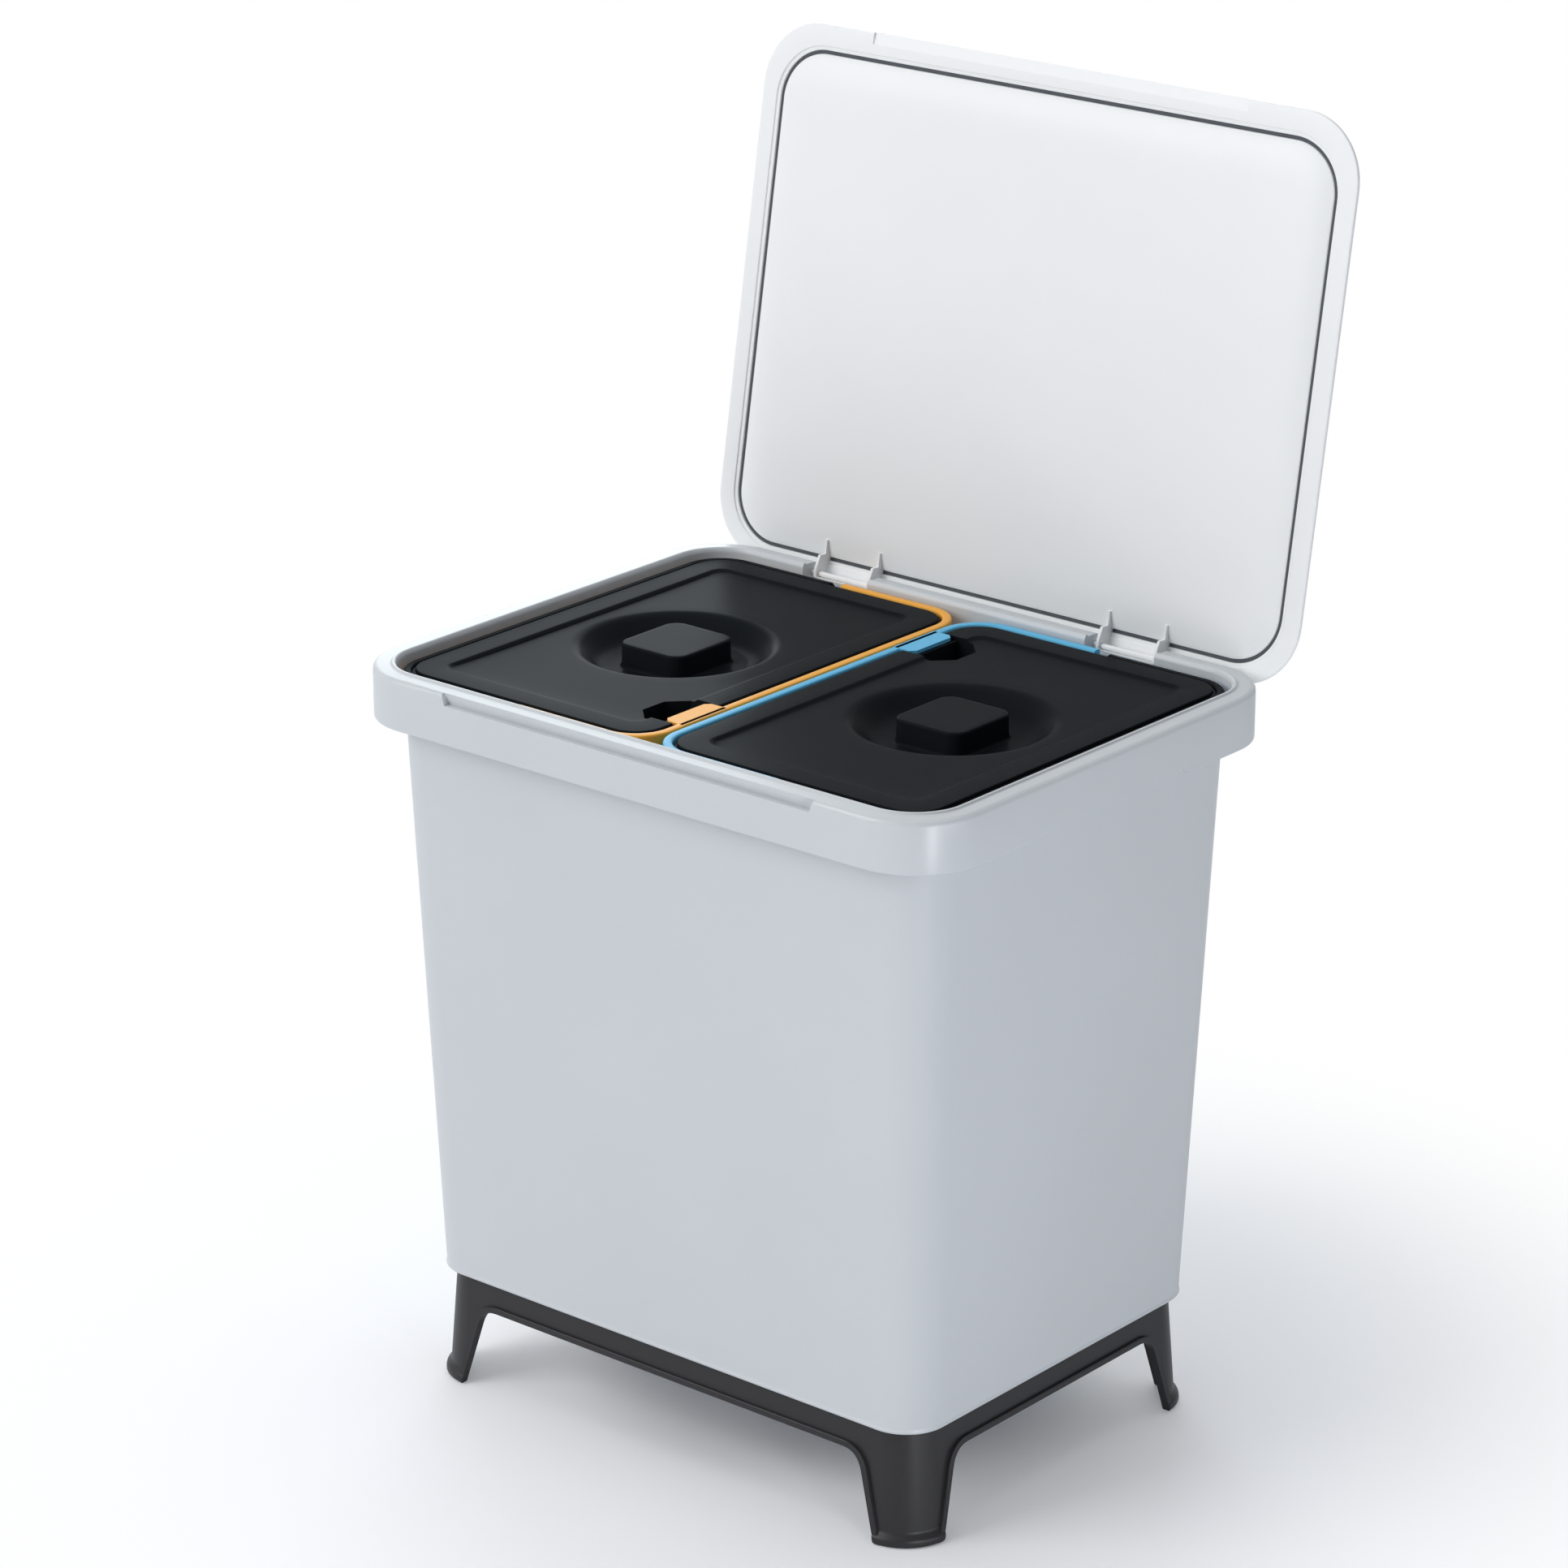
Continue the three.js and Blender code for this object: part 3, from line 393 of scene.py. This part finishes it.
def make_stand():
    shoulder = STAND_Z - GAP_HEIGHT
    rings = [
        stand_ring(0.9, 0, 0.8), stand_ring(TOE, 1.2, 1.2), stand_ring(TOE, 4.6, 1.4),
        stand_ring(0, 7.5, 1.5), stand_ring(0, shoulder, 0.7), stand_ring(-GAP_INSET, shoulder, 0.3),
        stand_ring(-GAP_INSET, STAND_Z, 0.3), stand_ring(-STAND_IN, STAND_Z, 0.5),
        stand_ring(-STAND_IN, STAND_Z - 3, 0.5), stand_ring(-3, STAND_Z - 3, 1), stand_ring(-3, 0, 0.5),
    ]
    stand = loft("leg_stand_shell", rings, closed=True, corner=STAND_LOOP)
    lip_top = BEAM_Z + LIP
    band = loft("lip_band", [
        stand_ring(1.4, 0, 0.5), stand_ring(2, 6.5, 1), stand_ring(2, lip_top, 0.9),
        stand_ring(-1.5, lip_top + 0.8), stand_ring(-1.5, 0),
    ], closed=True, corner=STAND_LOOP)
    wide = prism("wide_y", leg_opening(STAND_X, LIP), "y", -FAR, FAR)
    join(wide, [prism("wide_x", leg_opening(STAND_Y, LIP), "x", -FAR, FAR)])
    combine(band, [wide], "INTERSECT")
    join(stand, [band])
    cut(stand, [prism("open_y", leg_opening(STAND_X, 0), "y", -FAR, FAR),
                prism("open_x", leg_opening(STAND_Y, 0), "x", -FAR, FAR)])
    return dress(stand, STAND_PLASTIC, "body", "stand", "leg_stand")


# ---- lid ------------------------------------------------------------------------------------------
def lid_edge_ring(inset, rise, soft=0.0):
    return (LID_X - inset, (LID_BACK - LID_FRONT) / 2 - inset, LID_R - inset, LID_UNDER + rise, 0.0,
            (LID_BACK + LID_FRONT) / 2, soft)


def lid_ring(out, rise, soft=0.0):
    return (OPEN_X + out, OPEN_Y + out, OPEN_R + out, LID_UNDER + rise, 0.0, 0.0, soft)


def make_lid():
    bulge, rise = 2.4, 1.2  # how far the panel swells out, and how deep in the groove it starts
    edge, groove = -0.25, 4.35  # the groove's inner and outer side
    depth, step, crest = 3.6, 0.9, 4.4
    swell_width = 26
    swell = [(inset, rise - (bulge + rise) * (1 - (1 - inset / swell_width) ** 3.4))
             for inset in (swell_width, 22, 18, 14.5, 11.5, 9, 7, 5.2, 3.6, 2.2, 1.0)]
    rings = [lid_ring(edge - inset, drop) for inset, drop in swell]
    rings += [
        lid_ring(edge, rise, 0.4), lid_ring(edge + 0.2, depth, 0.1), lid_ring(edge + 2.1, depth, 0.1),
        lid_ring(edge + 2.3, step, 0.3), lid_ring(groove - 0.2, step, 0.2), lid_ring(groove, 0, 0.4),
        lid_edge_ring(0, 0, 0.9), lid_edge_ring(0, LID_EDGE, 1.1),
        lid_ring(groove + WALL + 1, LID_EDGE, 1), lid_ring(groove + WALL - 0.6, crest, 1),
        lid_ring(edge - WALL + 0.6, crest, 0.5), lid_ring(edge - WALL - 0.6, WALL + rise, 0.3),
    ]
    rings += [lid_ring(edge - WALL - inset, WALL + drop) for inset, drop in reversed(swell[:-1])]
    lid = loft("main_lid_shell", rings, corner=LID_LOOP)

    # lugs: a U in plan, cut to a side profile
    half, inner = LUG_WIDTH / 2, LUG_WIDTH / 2 - CHEEK
    inside = LID_BACK - 1.4
    end = OPEN_Y - 10
    plan = [(-half, end), (-inner, end)] + arc(-inner + 1.2, inside - 1.2, 1.2, 180, 90, 5)
    plan += arc(inner - 1.2, inside - 1.2, 1.2, 90, 0, 5) + [(inner, end), (half, end)]
    plan += arc(half - 3, LID_BACK - 3, 3, 0, 90) + arc(-half + 3, LID_BACK - 3, 3, 90, 180)
    under = LID_UNDER
    profile = [
        (end, under - 1.08), (end, under - 2.9), (OPEN_Y - 2.1, under - 2.9), (OPEN_Y - 1.6, under - 7.5),
        (HINGE_Y - 3, under - LUG_DROP), (inside, under - LUG_DROP), (LID_BACK, under - 8.6),
        (LID_BACK, under + 1.3),
        (OPEN_Y + 6.75, under + 1.3), (OPEN_Y + 4.35, under + 3.2), (OPEN_Y - 0.65, under + 3.2),
        (OPEN_Y - 2.65, under - 0.24),
    ]
    lugs, holes = [], []
    for side in (-1, 1):
        middle = side * LUG_X
        walls = prism("lug_walls", [(middle + u, v) for u, v in plan], "z", under - 15, under + 15)
        sides = prism("lug_sides", profile, "x", middle - half, middle + half)
        lugs.append(combine(walls, [sides], "INTERSECT"))
        holes.append(rod("pin_hole", PIN_HOLE_R, (middle, HINGE_Y, HINGE_Z), 2 * LUG_WIDTH))
    grip_out, grip_in = LID_FRONT - 3, LID_FRONT + 6.5
    grip = prism("grip", [(grip_out, under - 3), (grip_in, under - 3), (grip_in, under + 0.6),
                          (grip_out, under + 2)], "x", -RECESS_HALF, RECESS_HALF)
    join(lid, lugs)
    cut(lid, holes + [grip])
    # a grey strip set deep in the groove round the panel: painted shade standing in for the groove's dark
    # shadow line
    near, far, face, back = edge + 0.15, edge + 2.15, step + 1.1, depth + 0.1
    groove_shade = loft("lid_groove_shade", [
        lid_ring(near, face), lid_ring(far, face), lid_ring(far, back), lid_ring(near, back),
    ], closed=True, corner=LID_LOOP)
    for piece in (lid, groove_shade):
        turned(piece, -math.radians(OPEN_ANGLE), "X", (0, HINGE_Y, HINGE_Z))
    dress(groove_shade, GROOVE_SHADE_GREY, "main_lid", "black_plastic", "lid")
    return dress(lid, LID_PLASTIC, "main_lid", "main_lid", "lid")


# ---- buckets --------------------------------------------------------------------------------------
BUCKET_PLAY, HALF_GAP = 2.6, 0.6  # to the collar, and half the gap between the buckets
BUCKET_X = (OPEN_X - BUCKET_PLAY - HALF_GAP) / 2
BUCKET_Y = OPEN_Y - BUCKET_PLAY
BUCKET_MID = BUCKET_X + HALF_GAP
BUCKET_R = 25.0
BUCKET_WALL = 2.2
EAR_PIN_R, EAR_HOLE_R = 1.2, 1.5
TAB_REACH, TAB_THICK, TAB_CORNER = 9.4, 2.0, 3.0
PIVOT_X, PIVOT_Z = BUCKET_MID + 2.5, RIM_Z - 7
BAIL_OUT, BAIL_WIDTH = 1.2, 4.1
BAIL_TOP, BAIL_THICK = RIM_Z - 1, 4.0
REBATE_Z = BAIL_TOP - BAIL_THICK - 0.3
REBATE_X = PIVOT_X - (BAIL_TOP - PIVOT_Z) - 0.6
SEAT_Z = RIM_Z - 6.3
RIM_SKIRT, RIM_NECK, RIM_BAND, SEAT_BAND = 1.6, 3.4, 5.2, 13.0
HOLE_FROM, HOLE_TO = 66.0, 103.0


def bucket_ring(inset, z, soft=0.0, radius=None):
    radius = BUCKET_R - inset if radius is None else radius
    return (BUCKET_X - inset, BUCKET_Y - inset, radius, z, BUCKET_MID, soft)


def bucket_shell(name, rim):
    foot = TUB_INSET + TUB_TAPER + WALL + 1.6
    foot_x = (COLLAR_X - foot - 8) / 2
    base = FOOT_Z + WALL + 3

    def foot_ring(inset, z, soft=0.0):
        return (foot_x - inset, COLLAR_Y - foot - inset, 20 - inset, z, 8 + foot_x, soft)

    return loft(name, [
        foot_ring(8, base), foot_ring(0, base, 4),
        bucket_ring(SEAT_BAND - BUCKET_WALL, SEAT_Z - BUCKET_WALL, 1),
        bucket_ring(RIM_NECK, SEAT_Z - BUCKET_WALL, 0.8), bucket_ring(RIM_NECK, rim - BUCKET_WALL, 0.4),
        bucket_ring(RIM_SKIRT, rim - BUCKET_WALL, 0.4), bucket_ring(RIM_SKIRT, LEDGE_Z + 0.3, 0.3),
        bucket_ring(0, LEDGE_Z + 0.3, 0.4), bucket_ring(0, rim, 1.5), bucket_ring(RIM_BAND, rim, 1.5),
        bucket_ring(RIM_BAND, SEAT_Z, 0.4), bucket_ring(SEAT_BAND, SEAT_Z, 1),
        foot_ring(BUCKET_WALL, base + BUCKET_WALL, 3), foot_ring(8, base + BUCKET_WALL),
    ], corner=BUCKET_LOOP)


def make_bucket(side, material, slot):
    tall = bucket_shell(f"bucket_shell_{side}", RIM_Z)
    combine(tall, [block("half", (-400, -400, 0), (REBATE_X, 400, 900))], "INTERSECT")
    lower = bucket_shell("bucket_outer_half", REBATE_Z)
    combine(lower, [block("half", (REBATE_X - 0.05, -400, 0), (400, 400, 900))], "INTERSECT")
    root, tip = 2 * HALF_GAP, HALF_GAP + RIM_BAND + TAB_REACH
    start, end = HOLE_FROM + 1, HOLE_TO - 1
    tab = prism("tab", [(root, start), (tip - TAB_CORNER, start), (tip, start + TAB_CORNER),
                        (tip, end - TAB_CORNER), (tip - TAB_CORNER, end), (root, end)],
                "z", RIM_Z - TAB_THICK, RIM_Z)
    channel_in, channel_out = BUCKET_Y - RIM_NECK, BUCKET_Y - RIM_SKIRT
    slots, pins = [], []
    for way in (-1, 1):
        near, far = sorted((way * channel_in, way * channel_out))
        slots.append(block("ear_slot", (REBATE_X, near, REBATE_Z - 4.4), (PIVOT_X + 3.4, far, RIM_Z)))
        middle = (PIVOT_X, way * (channel_in + channel_out) / 2, PIVOT_Z)
        pins.append(rod("ear_pin", EAR_PIN_R, middle, 4.3, "y", 20))
    join(tall, [lower])
    cut(tall, slots)
    join(tall, [tab] + pins)
    if side == "left":
        turned(tall, math.pi, "Z", (0, 0, 0))
    return dress(tall, material, f"bucket_{side}", slot, f"bucket_{side}")


# ---- bails ----------------------------------------------------------------------------------------
def make_bail(side):
    start = PIVOT_X + REBATE_Z - PIVOT_Z + 0.6
    out = BAIL_OUT
    radius, far, wide = BUCKET_R - out, BUCKET_MID + BUCKET_X - out, BUCKET_Y - out
    under = BAIL_TOP - BAIL_THICK
    section = [(0, under), (0, BAIL_TOP), (BAIL_WIDTH, BAIL_TOP), (BAIL_WIDTH, under)]

    def path(inset):
        r = radius - inset
        points = [(start, -wide + inset)]
        points += arc(far - radius, -wide + radius, r, -90, 0, 14)
        points += arc(far - radius, wide - radius, r, 0, 90, 14)
        return points + [(start, wide - inset)]

    corner = 0.7
    rounded = []
    for i, (u, z) in enumerate(section):
        before, after = section[i - 1], section[(i + 1) % 4]
        for other in (before, after):
            length = math.hypot(other[0] - u, other[1] - z)
            rounded.append((u + (other[0] - u) * corner / length, z + (other[1] - z) * corner / length))
    lines = [[(x, y, z) for x, y in path(u)] for u, z in rounded]
    count, along = len(lines), len(lines[0])
    points = [lines[i][j] for j in range(along) for i in range(count)]
    faces = []
    for j in range(along - 1):
        here, beyond = j * count, (j + 1) * count
        for i in range(count):
            after = (i + 1) % count
            faces.append((here + i, here + after, beyond + after, beyond + i))
    faces += [tuple(range(count)), tuple(range((along - 1) * count, along * count))]
    bail = new_object(f"bail_strap_{side}", points, faces)

    tongue_y = BUCKET_Y - (RIM_SKIRT + RIM_NECK) / 2
    ear = 2.8
    rise, drop = BAIL_TOP - PIVOT_Z, under - PIVOT_Z
    tongue = [(PIVOT_X - ear * 0.6, PIVOT_Z + ear * 0.8), (PIVOT_X + ear * 0.9, PIVOT_Z + ear * 0.2),
              (PIVOT_X + ear, PIVOT_Z + drop), (start + 3.9, PIVOT_Z + drop), (start + 3.9, PIVOT_Z + rise),
              (PIVOT_X + ear * 0.6, PIVOT_Z + rise)]
    ears, holes = [], []
    for way in (-1, 1):
        ears.append(prism("tongue", tongue, "y", way * tongue_y - 0.7, way * tongue_y + 0.7))
        ears.append(rod("ear", ear, (PIVOT_X, way * tongue_y, PIVOT_Z), 1.4, "y", 28))
        holes.append(rod("ear_hole", EAR_HOLE_R, (PIVOT_X, way * tongue_y, PIVOT_Z), 4, "y", 20))
    join(bail, ears)
    cut(bail, holes)
    if side == "left":
        turned(bail, math.pi, "Z", (0, 0, 0))
    return dress(bail, BLACK_PLASTIC, f"bail_{side}", "black_plastic", f"bail_{side}")


# ---- inner lids -----------------------------------------------------------------------------------
PLATE_IN, PLATE_R = 7.4, 17.6
LID_TOP = RIM_Z - 0.2
FLANGE_TOP = LID_TOP - 2
PANEL_Z = LID_TOP - 1.8
DISH_Z = PANEL_Z - 11.2
DISH_FLOOR_R, DISH_R, BRIM_R = 42.0, 54.5, 66.0
STEP_OUT, STEP_IN = 15.0, 17.2  # the step round the panel, from the plate's edge
PLATE_THICK, PLATE_WALL = 2.0, 1.8
KNOB_X = BUCKET_MID + 2.8
KNOB_HALF_X, KNOB_HALF_Y, KNOB_R = 22.5, 24.5, 9.0


def ray_angles():
    """Directions from the knob: even, and closer together where the plate's corners lie."""
    angles = {round(i * 4.0, 3) for i in range(90)}
    for sx in (-1, 1):
        for sy in (-1, 1):
            cx = BUCKET_MID + sx * (BUCKET_X - PLATE_IN - PLATE_R) - KNOB_X
            cy = sy * (BUCKET_Y - PLATE_IN - PLATE_R)
            for step in range(13):
                turn = math.radians(step * 7.5)
                x, y = cx + sx * PLATE_R * math.cos(turn), cy + sy * PLATE_R * math.sin(turn)
                angles.add(round(math.degrees(math.atan2(y, x)) % 360, 3))
            kx, ky = sx * (KNOB_HALF_X - KNOB_R), sy * (KNOB_HALF_Y - KNOB_R)
            for step in range(9):
                turn = math.radians(step * 11.25)
                x, y = kx + sx * KNOB_R * math.cos(turn), ky + sy * KNOB_R * math.sin(turn)
                angles.add(round(math.degrees(math.atan2(y, x)) % 360, 3))
    ordered = sorted(angles)
    kept = [ordered[0]]
    for angle in ordered[1:]:
        if angle - kept[-1] > 0.25:
            kept.append(angle)
    return [math.radians(a) for a in kept]


RAYS = ray_angles()


def ray_loop(ring):
    """A rounded rectangle sampled along the rays from the knob's middle."""
    half_x, half_y, radius, z, mid_x = ring[:5]
    radius = max(min(radius, half_x, half_y), 0.01)
    mid = mid_x - KNOB_X
    points = []
    for angle in RAYS:
        c, s = math.cos(angle), math.sin(angle)
        reach = []
        if abs(c) > 1e-9:
            reach.append((mid + math.copysign(half_x, c)) / c)
        if abs(s) > 1e-9:
            reach.append(math.copysign(half_y, s) / s)
        t = min(r for r in reach if r > 0)
        x, y = t * c - mid, t * s
        in_x, in_y = half_x - radius, half_y - radius
        if abs(x) > in_x + 1e-9 and abs(y) > in_y + 1e-9:
            ox, oy = mid + math.copysign(in_x, x), math.copysign(in_y, y)
            along = ox * c + oy * s
            t = along + math.sqrt(max(radius ** 2 - (ox ** 2 + oy ** 2 - along ** 2), 0))
        points.append((KNOB_X + t * c, t * s, z))
    return points


def plate_ring(inset, z, soft=0.0):
    half_x, half_y = BUCKET_X - PLATE_IN - inset, BUCKET_Y - PLATE_IN - inset
    return (half_x, half_y, PLATE_R - min(inset, 10), z, BUCKET_MID, soft)


def dish_ring(radius, z, soft=0.0):
    return (radius, radius, radius, z, KNOB_X, soft)


def knob_ring(inset, z, soft=0.0):
    return (KNOB_HALF_X - inset, KNOB_HALF_Y - inset, KNOB_R - inset, z, KNOB_X, soft)


def make_inner_lid(side):
    under = SEAT_Z + 0.3
    top = LID_TOP
    knob_top = top + 0.6
    outside = [
        knob_ring(4, knob_top), knob_ring(0, knob_top, 1.5), knob_ring(-0.3, DISH_Z, 2.5),
        dish_ring(DISH_FLOOR_R, DISH_Z, 6), dish_ring(DISH_R, PANEL_Z, 4), dish_ring(BRIM_R, PANEL_Z, 0),
        plate_ring(STEP_IN, PANEL_Z, 0.8), plate_ring(STEP_OUT, top, 0.9), plate_ring(0, top, 0.9),
        plate_ring(0, FLANGE_TOP, 0.3), plate_ring(-PLATE_WALL, FLANGE_TOP, 0.5),
        plate_ring(-PLATE_WALL, under, 0.4), plate_ring(0, under, 0.3),
        plate_ring(0, FLANGE_TOP - PLATE_WALL, 0.3), plate_ring(PLATE_WALL, FLANGE_TOP - PLATE_WALL, 0.3),
        plate_ring(PLATE_WALL, top - PLATE_THICK, 0.4), plate_ring(13.2, top - PLATE_THICK, 0.8),
        plate_ring(STEP_IN, PANEL_Z - PLATE_THICK, 0.8), dish_ring(BRIM_R, PANEL_Z - PLATE_THICK),
        dish_ring(DISH_R + 2, PANEL_Z - PLATE_THICK, 5),
        dish_ring(DISH_FLOOR_R + 1.5, DISH_Z - PLATE_WALL, 6), knob_ring(1.8, DISH_Z - PLATE_WALL, 1),
        knob_ring(2, knob_top - PLATE_THICK, 1), knob_ring(5, knob_top - PLATE_THICK),
    ]
    lid = skin(f"inner_lid_plate_{side}", [ray_loop(r) for r in soften(outside, steps=7)])
    edge_x = HALF_GAP + PLATE_IN

    def hole_outline(start, grow):
        far = edge_x + 29.6 + grow
        lo, hi = HOLE_FROM - grow, HOLE_TO + grow
        return [(start, lo), (far - 10, lo), (far, lo + 10), (far, hi - 10), (far - 10, hi), (start, hi)]

    foot = PANEL_Z - 15
    collar = prism("hole_wall", hole_outline(edge_x + 0.9, PLATE_WALL), "z", under, PANEL_Z - 0.3)
    near = HALF_GAP + RIM_BAND + TAB_REACH + 0.3
    sleeve = prism("hole_sleeve", hole_outline(near, PLATE_WALL), "z", foot, PANEL_Z - 0.3)
    join(lid, [collar, sleeve])
    cut(lid, [block("mouth", (edge_x - 3.6, HOLE_FROM, foot - 2), (near, HOLE_TO, top + 5)),
              prism("well", hole_outline(near + PLATE_WALL, 0), "z", foot - 2, top + 5),
              prism("brim", hole_outline(near - 0.3, 0), "z", RIM_Z - 2.3, top + 5)])
    if side == "left":
        turned(lid, math.pi, "Z", (0, 0, 0))
    return dress(lid, BLACK_PLASTIC, f"inner_lid_{side}", "black_plastic", f"inner_lid_{side}")


# ---- build ----------------------------------------------------------------------------------------
make_tub()
make_stand()
make_lid()
for side, way in (("left", -1), ("right", 1)):
    pin = rod(f"hinge_peg_{side}", PIN_R, (way * LUG_X, HINGE_Y, HINGE_Z), 2 * (NOTCH_HALF + WALL), soft=0.4)
    dress(pin, LID_PLASTIC, "body", "main_lid", f"hinge_pin_{side}")
make_bucket("left", YELLOW_PLASTIC, "bucket_yellow")
make_bucket("right", BLUE_PLASTIC, "bucket_blue")
for side in ("left", "right"):
    make_bail(side)
    make_inner_lid(side)

# ---- floor, light and camera ----------------------------------------------------------------------
world = bpy.data.worlds.new("studio")
bpy.context.scene.world = world
world.use_nodes = True
nodes, links = world.node_tree.nodes, world.node_tree.links
nodes.clear()
world_out = nodes.new("ShaderNodeOutputWorld")
seen = nodes.new("ShaderNodeBackground")
seen.inputs["Color"].default_value = (1, 1, 1, 1)
soft_light = nodes.new("ShaderNodeBackground")
soft_light.inputs["Strength"].default_value = 0.65
# the studio is bright to the left and above, dim to the right of the bin
heading = nodes.new("ShaderNodeTexCoord")
parts = nodes.new("ShaderNodeSeparateXYZ")
links.new(heading.outputs["Generated"], parts.inputs["Vector"])
side_fade = nodes.new("ShaderNodeMapRange")
side_fade.interpolation_type = "SMOOTHSTEP"
side_fade.inputs["From Min"].default_value = -0.2
side_fade.inputs["From Max"].default_value = 0.75
links.new(parts.outputs["X"], side_fade.inputs["Value"])
shade = nodes.new("ShaderNodeMix")
shade.data_type = "RGBA"
shade.inputs["A"].default_value = (0.95, 0.97, 1, 1)
shade.inputs["B"].default_value = (0.17, 0.19, 0.22, 1)
links.new(side_fade.outputs["Result"], shade.inputs["Factor"])
links.new(shade.outputs["Result"], soft_light.inputs["Color"])
path = nodes.new("ShaderNodeLightPath")
choose = nodes.new("ShaderNodeMixShader")
links.new(path.outputs["Is Camera Ray"], choose.inputs["Fac"])
links.new(soft_light.outputs["Background"], choose.inputs[1])
links.new(seen.outputs["Background"], choose.inputs[2])
links.new(choose.outputs["Shader"], world_out.inputs["Surface"])

floor_mesh = bpy.data.meshes.new("floor")
reach = 6.0
floor_mesh.from_pydata([(-reach, -reach, 0), (reach, -reach, 0), (reach, reach, 0), (-reach, reach, 0)], [],
                       [(0, 1, 2, 3)])
floor = bpy.data.objects.new("floor", floor_mesh)
bpy.context.scene.collection.objects.link(floor)
floor_material = bpy.data.materials.new("floor_white")
floor_material.use_nodes = True
nodes, links = floor_material.node_tree.nodes, floor_material.node_tree.links
nodes.clear()
floor_out = nodes.new("ShaderNodeOutputMaterial")
matt = nodes.new("ShaderNodeBsdfDiffuse")
matt.inputs["Color"].default_value = (0.8, 0.8, 0.82, 1)
glow = nodes.new("ShaderNodeEmission")
path = nodes.new("ShaderNodeLightPath")
total = nodes.new("ShaderNodeAddShader")
links.new(matt.outputs["BSDF"], total.inputs[0])
links.new(glow.outputs["Emission"], total.inputs[1])
# away from the bin the floor fades to the white of the backdrop, for the camera alone
spot = nodes.new("ShaderNodeNewGeometry")
away = nodes.new("ShaderNodeVectorMath")
away.operation = "LENGTH"
links.new(spot.outputs["Position"], away.inputs[0])
fade = nodes.new("ShaderNodeMapRange")
fade.interpolation_type = "SMOOTHSTEP"
fade.inputs["From Min"].default_value = 0.24
fade.inputs["From Max"].default_value = 0.56
links.new(away.outputs["Value"], fade.inputs["Value"])
# a camera-only glow lifts the floor round the bin and fades out beneath it, so the floor under the bin is
# left as the lamps light it: painted shade under the bin
painted_shade_fade = nodes.new("ShaderNodeMapRange")
painted_shade_fade.interpolation_type = "SMOOTHSTEP"
painted_shade_fade.inputs["From Min"].default_value = 0.09
painted_shade_fade.inputs["From Max"].default_value = 0.17
painted_shade_fade.inputs["To Max"].default_value = 0.17
links.new(away.outputs["Value"], painted_shade_fade.inputs["Value"])
lift = nodes.new("ShaderNodeMath")
lift.operation = "MULTIPLY"
links.new(painted_shade_fade.outputs["Result"], lift.inputs[0])
links.new(path.outputs["Is Camera Ray"], lift.inputs[1])
links.new(lift.outputs["Value"], glow.inputs["Strength"])
seen_far = nodes.new("ShaderNodeMath")
seen_far.operation = "MULTIPLY"
links.new(fade.outputs["Result"], seen_far.inputs[0])
links.new(path.outputs["Is Camera Ray"], seen_far.inputs[1])
backdrop = nodes.new("ShaderNodeEmission")
blend = nodes.new("ShaderNodeMixShader")
links.new(seen_far.outputs["Value"], blend.inputs["Fac"])
links.new(total.outputs["Shader"], blend.inputs[1])
links.new(backdrop.outputs["Emission"], blend.inputs[2])
links.new(blend.outputs["Shader"], floor_out.inputs["Surface"])
floor_mesh.materials.append(floor_material)


def softbox(name, place, aim, width, height, power, colour=(1, 1, 1)):
    data = bpy.data.lights.new(name, "AREA")
    data.shape = "RECTANGLE"
    data.size, data.size_y = width, height
    data.energy = power
    data.color = colour
    lamp = bpy.data.objects.new(name, data)
    lamp.location = place
    lamp.rotation_euler = (Vector(aim) - Vector(place)).to_track_quat("-Z", "Y").to_euler()
    bpy.context.scene.collection.objects.link(lamp)
    return lamp


softbox("key", (-1.4, -2.6, 1.9), (0, 0, 0.4), 2.0, 2.0, 44)
softbox("overhead", (-0.3, 0.1, 3.0), (0, 0, 0.2), 2.4, 2.4, 18)
softbox("low_right", (2.4, -0.2, 0.17), (0, 0, 0.2), 1.8, 0.3, 9.5, (0.95, 0.97, 1))
softbox("corner_glint", (0.965, -0.54, 0.17), (0.17, -0.12, 0.25), 0.14, 0.3, 1.9, (0.95, 0.97, 1))
softbox("far_left", (-1.1, 1.1, 0.96), (-0.1, -0.05, 0.41), 1.1, 1.1, 9, (0.88, 0.97, 1))

camera_data = bpy.data.cameras.new("camera")
camera_data.sensor_width = 36
camera_data.lens = 127.477
camera_data.shift_x = 0.00005
camera_data.shift_y = 0.00187
camera_data.clip_end = 50
camera = bpy.data.objects.new("camera", camera_data)
target = to_row((-19.35, 0, 347.99))
azimuth, elevation, distance = math.radians(40.07), math.radians(20.02), 2.97997
camera.location = target + distance * Vector((
    math.sin(azimuth) * math.cos(elevation), -math.cos(azimuth) * math.cos(elevation), math.sin(elevation)))
camera.rotation_euler = (target - camera.location).to_track_quat("-Z", "Y").to_euler()
bpy.context.scene.collection.objects.link(camera)
bpy.context.scene.camera = camera
bpy.context.scene.view_settings.view_transform = "Standard"

bpy.context.view_layer.update()
